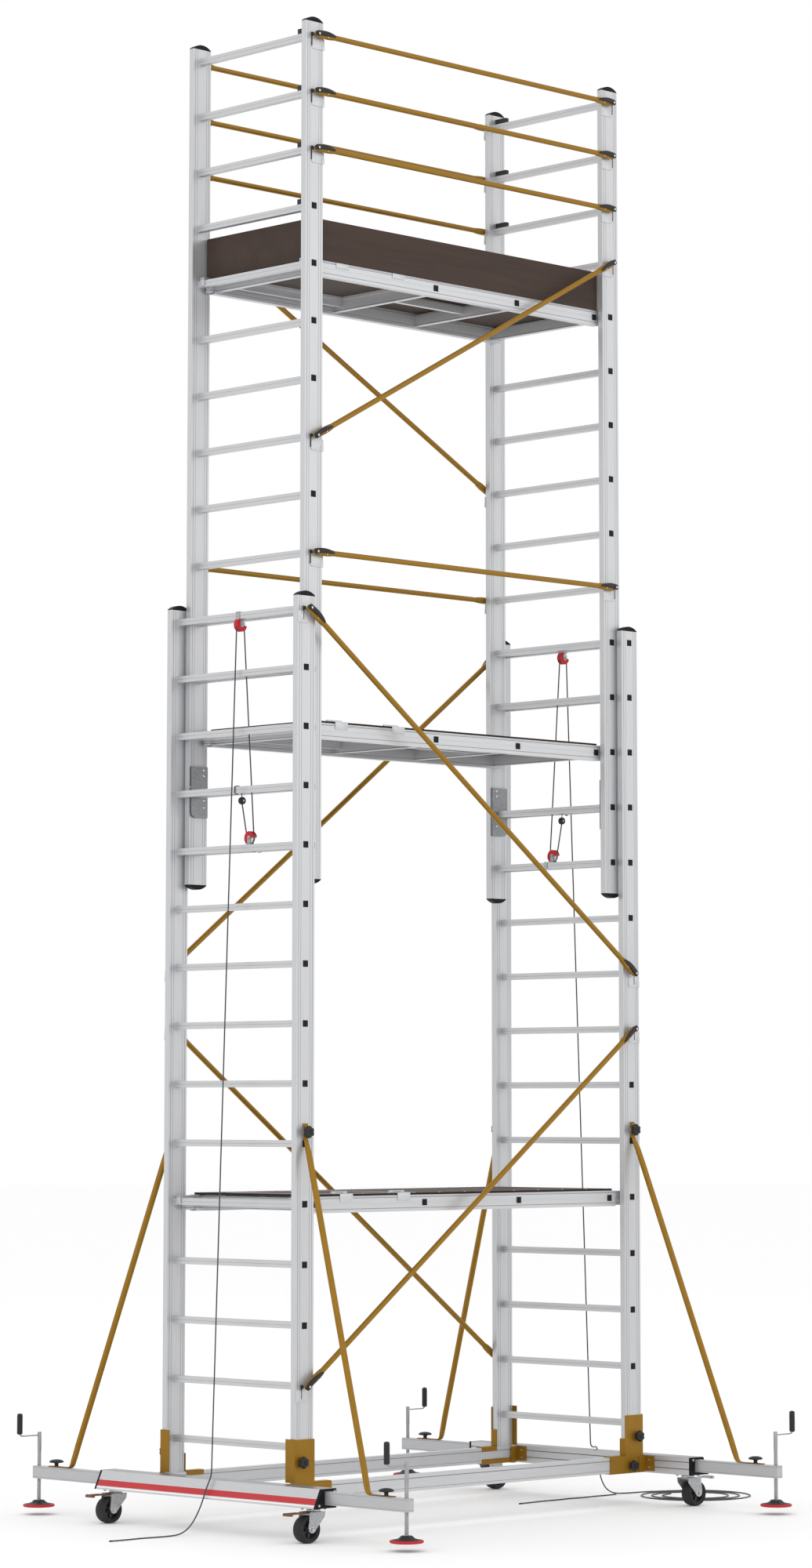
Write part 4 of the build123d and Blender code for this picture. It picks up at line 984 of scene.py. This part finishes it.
def build_hoist():
    """Pulley blocks and the strands between them, on both ladders."""
    top = hoist_piles("top_block", "root", "hoist_top_blocks")
    lift = hoist_piles("lift_block", "upper_section", "lift_pulley_blocks")
    del lift["black"]
    for side, ladder in ((-1, "a"), (1, "b")):
        build_top_block(top, side)
        build_lift_block(lift, side)
        x, y, z = LIFT_SHEAVE
        strand("lift_strand_" + ladder, (side * (LOWER_X - SHEAVE_R), 0, TOP_SHEAVE_Z),
               (side * x, side * (y + SHEAVE_R), z))
        strand("return_strand_" + ladder, (side * 1.0975, side * -0.014, 3.4185),
               (side * x, side * (y - SHEAVE_R), z))
    for pile in (*top.values(), *lift.values()):
        pile.finish()


# ---------------- small fittings
def deck_fittings(name, body, z, half):
    """Rivets along a deck's long edges, and the flaps that carry the trapdoor's hinges."""
    rivets = Pile("deck_rivets_" + name, "steel", body)
    reach = 1.03 if name == "lower" else 0.97
    spaces = 12
    for i in range(spaces + 1):
        for end in (-1, 1):
            spot = place((-reach + 2 * reach * i / spaces, end * (half - 0.014), z))
            rivets.lathe([(0.01, 0.05), (5, 0.05), (4.4, 1.2), (2.4, 1.9), (0.01, 2.1)], spot, 14)
    rivets.finish()
    flaps = Pile("hinge_flaps_" + name, "alu", body)
    top = 32 if name == "top" else 43
    for x in HINGES_X:
        side = facing_front(x, -half - 0.006, z - DECK_ABOVE_RUNG)
        flaps.slab([(-42, 9), (-39, 6), (39, 6), (42, 9), (42, top), (-42, top)], 0.05, 3.2, side, 0.6)
        for dx in (-26, 26):
            flaps.lathe([(0.01, 3), (3.4, 3), (2.8, 4.4), (0.01, 4.8)],
                        side @ Matrix.Translation((dx, 14, 0)), 12)
    flaps.finish()


def hatch_fittings(name, z):
    """A trapdoor's ring pull on its plate, its hinge rivets and its aluminium edge strip."""
    low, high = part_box("trapdoor_" + name)
    door = Pile("hatch_fittings_" + name, "zinc", "trapdoor_" + name)
    x, y = (low[0] + high[0]) / 2, high[1] - 0.06
    door.slab(oblong(32, 18, 6), 0.05, 1.6, place((x, y, z)), 0.5)
    door.lathe(circle(14, 3.9, 2.2), place((x, y, z)), 32, closed=True)
    for dx in (-26, 26):
        door.lathe([(0.01, 1.5), (3, 1.5), (2.4, 2.6), (0.01, 2.8)], place((x + dx * MM, y, z)), 12)
    for x in HINGES_X:
        for dx in (-16, 0, 16):
            door.lathe([(0.01, 2.45), (3.6, 2.45), (3, 3.6), (0.01, 3.9)],
                       place((x + dx * MM, low[1] + 0.026, z)), 12)
    door.finish()
    edge = Pile("hatch_edge_" + name, "alu", "trapdoor_" + name)
    outer = [(x / MM, y / MM) for x, y in box(low[0] + 0.0005, high[0] - 0.0005,
                                              low[1] + 0.0075, high[1] - 0.0005)]
    rings = [[(*a, 0.05), (*a, 1.5), (*b, 1.5), (*b, 0.05)] for a, b in zip(outer, inset(outer, 14))]
    edge.loft(rings, place((0, 0, z)), closed=True)
    edge.finish()


def stile_fittings():
    """Rivets of the latch housings, and the black stops over the guard rail rungs."""
    face = UPPER_FACE - STILE_DEPTH
    rivets = Pile("latch_rivets", "steel", "upper_section")
    for _, side, end in CORNERS:
        for z in (3.424, 3.459, 3.578, 3.606):
            spot = mirrored(side, end) @ facing_front(1.019, face - 0.013, z)
            rivets.lathe([(0.01, 0.05), (7.5, 0.05), (7, 1.6), (4.5, 3.2), (0.01, 3.6)], spot, 18)
    rivets.finish()
    stops = Pile("stile_stops", "black", "upper_section")
    for side in (-1, 1):
        for number in (22, 23, 24, 25):
            spot = turned(side) @ facing_front(UPPER_X, face, rung_z(number))
            stops.slab(box(-11, 11, 16.5, 43), 0.05, 78, spot, 1.5)
    stops.finish()


def build_fittings():
    """Deck and hatch fittings, then those of the stiles, the beams' end caps and the toe boards."""
    for name, level, body in PLATFORMS:
        z = rung_z(level) + DECK_ABOVE_RUNG
        deck_fittings(name, body, z, 0.412 if name == "lower" else 0.372)
        hatch_fittings(name, z)
    stile_fittings()
    screws = Pile("cap_screws", "steel", "root")
    head = [(0.01, 0.05), (6, 0.05), (6, 1.5), (4.5, 2.6), (2.4, 2.6), (2.2, 1.2), (0.01, 1.2)]
    channels = Pile("toe_board_channels", "alu", "upper_section")
    outline = [(-6.5, -1.2), (-6.5, 2.0), (10.4, 2.0), (10.4, -46), (6.8, -46), (6.8, -1.6)]
    low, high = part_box("toe_boards")
    for _, side, end in CORNERS:
        for x, z in ((1.226, 0.232), (1.322, 0.172)):
            screws.lathe(head, mirrored(side, end) @ facing_back(x, 0.776, z), 20)
        post = mirrored(side, end) @ place((0.991, 0.3855, 0))
        channels.slab(outline, low[2] / MM + 0.1, high[2] / MM - 0.1, post, 0.3)
    screws.finish()
    channels.finish()


# ---------------- studio
def add_studio():
    """Pale seamless floor, soft key light from the front left, fill from the right and a bright dome."""
    mesh = bpy.data.meshes.new("floor")
    mesh.from_pydata([(x, y, 0) for x, y in circle(0, 0, 90, 64)], [], [tuple(range(64))])
    floor = bpy.data.objects.new("floor", mesh)
    link(floor)
    look = Look("studio_floor", (0.985, 0.985, 0.985), 0.0, 0.75, 0.1)
    mesh.materials.append(look.mat)
    world = bpy.data.worlds.new("studio")
    world.use_nodes = True
    dome = world.node_tree.nodes["Background"].inputs
    dome["Color"].default_value = (1, 1, 1, 1)
    dome["Strength"].default_value = 1.0
    bpy.context.scene.world = world
    for name, spot, size, power in (("key", (-13, -9, 13), 9, 420), ("fill", (9, -14, 8), 9, 160),
                                    ("back", (4, 14, 14), 9, 160)):
        light = bpy.data.lights.new(name, "AREA")
        light.size = size
        light.energy = power
        lamp = bpy.data.objects.new(name, light)
        lamp.location = spot
        lamp.rotation_euler = (Vector((0, 0, 3)) - Vector(spot)).to_track_quat("-Z", "Y").to_euler()
        link(lamp)
    bpy.context.scene.view_settings.view_transform = "Standard"


def main():
    """Makes the camera and the cords, then every other piece, and the studio."""
    add_camera()
    build_ropes()
    dress_cad_nodes()
    build_braces()
    build_knobs()
    for corner, side, end in CORNERS:
        build_stay(corner, side, end)
        build_jack(corner, side, end)
        build_castor(corner, side, end)
    build_hoist()
    build_fittings()
    add_studio()


main()
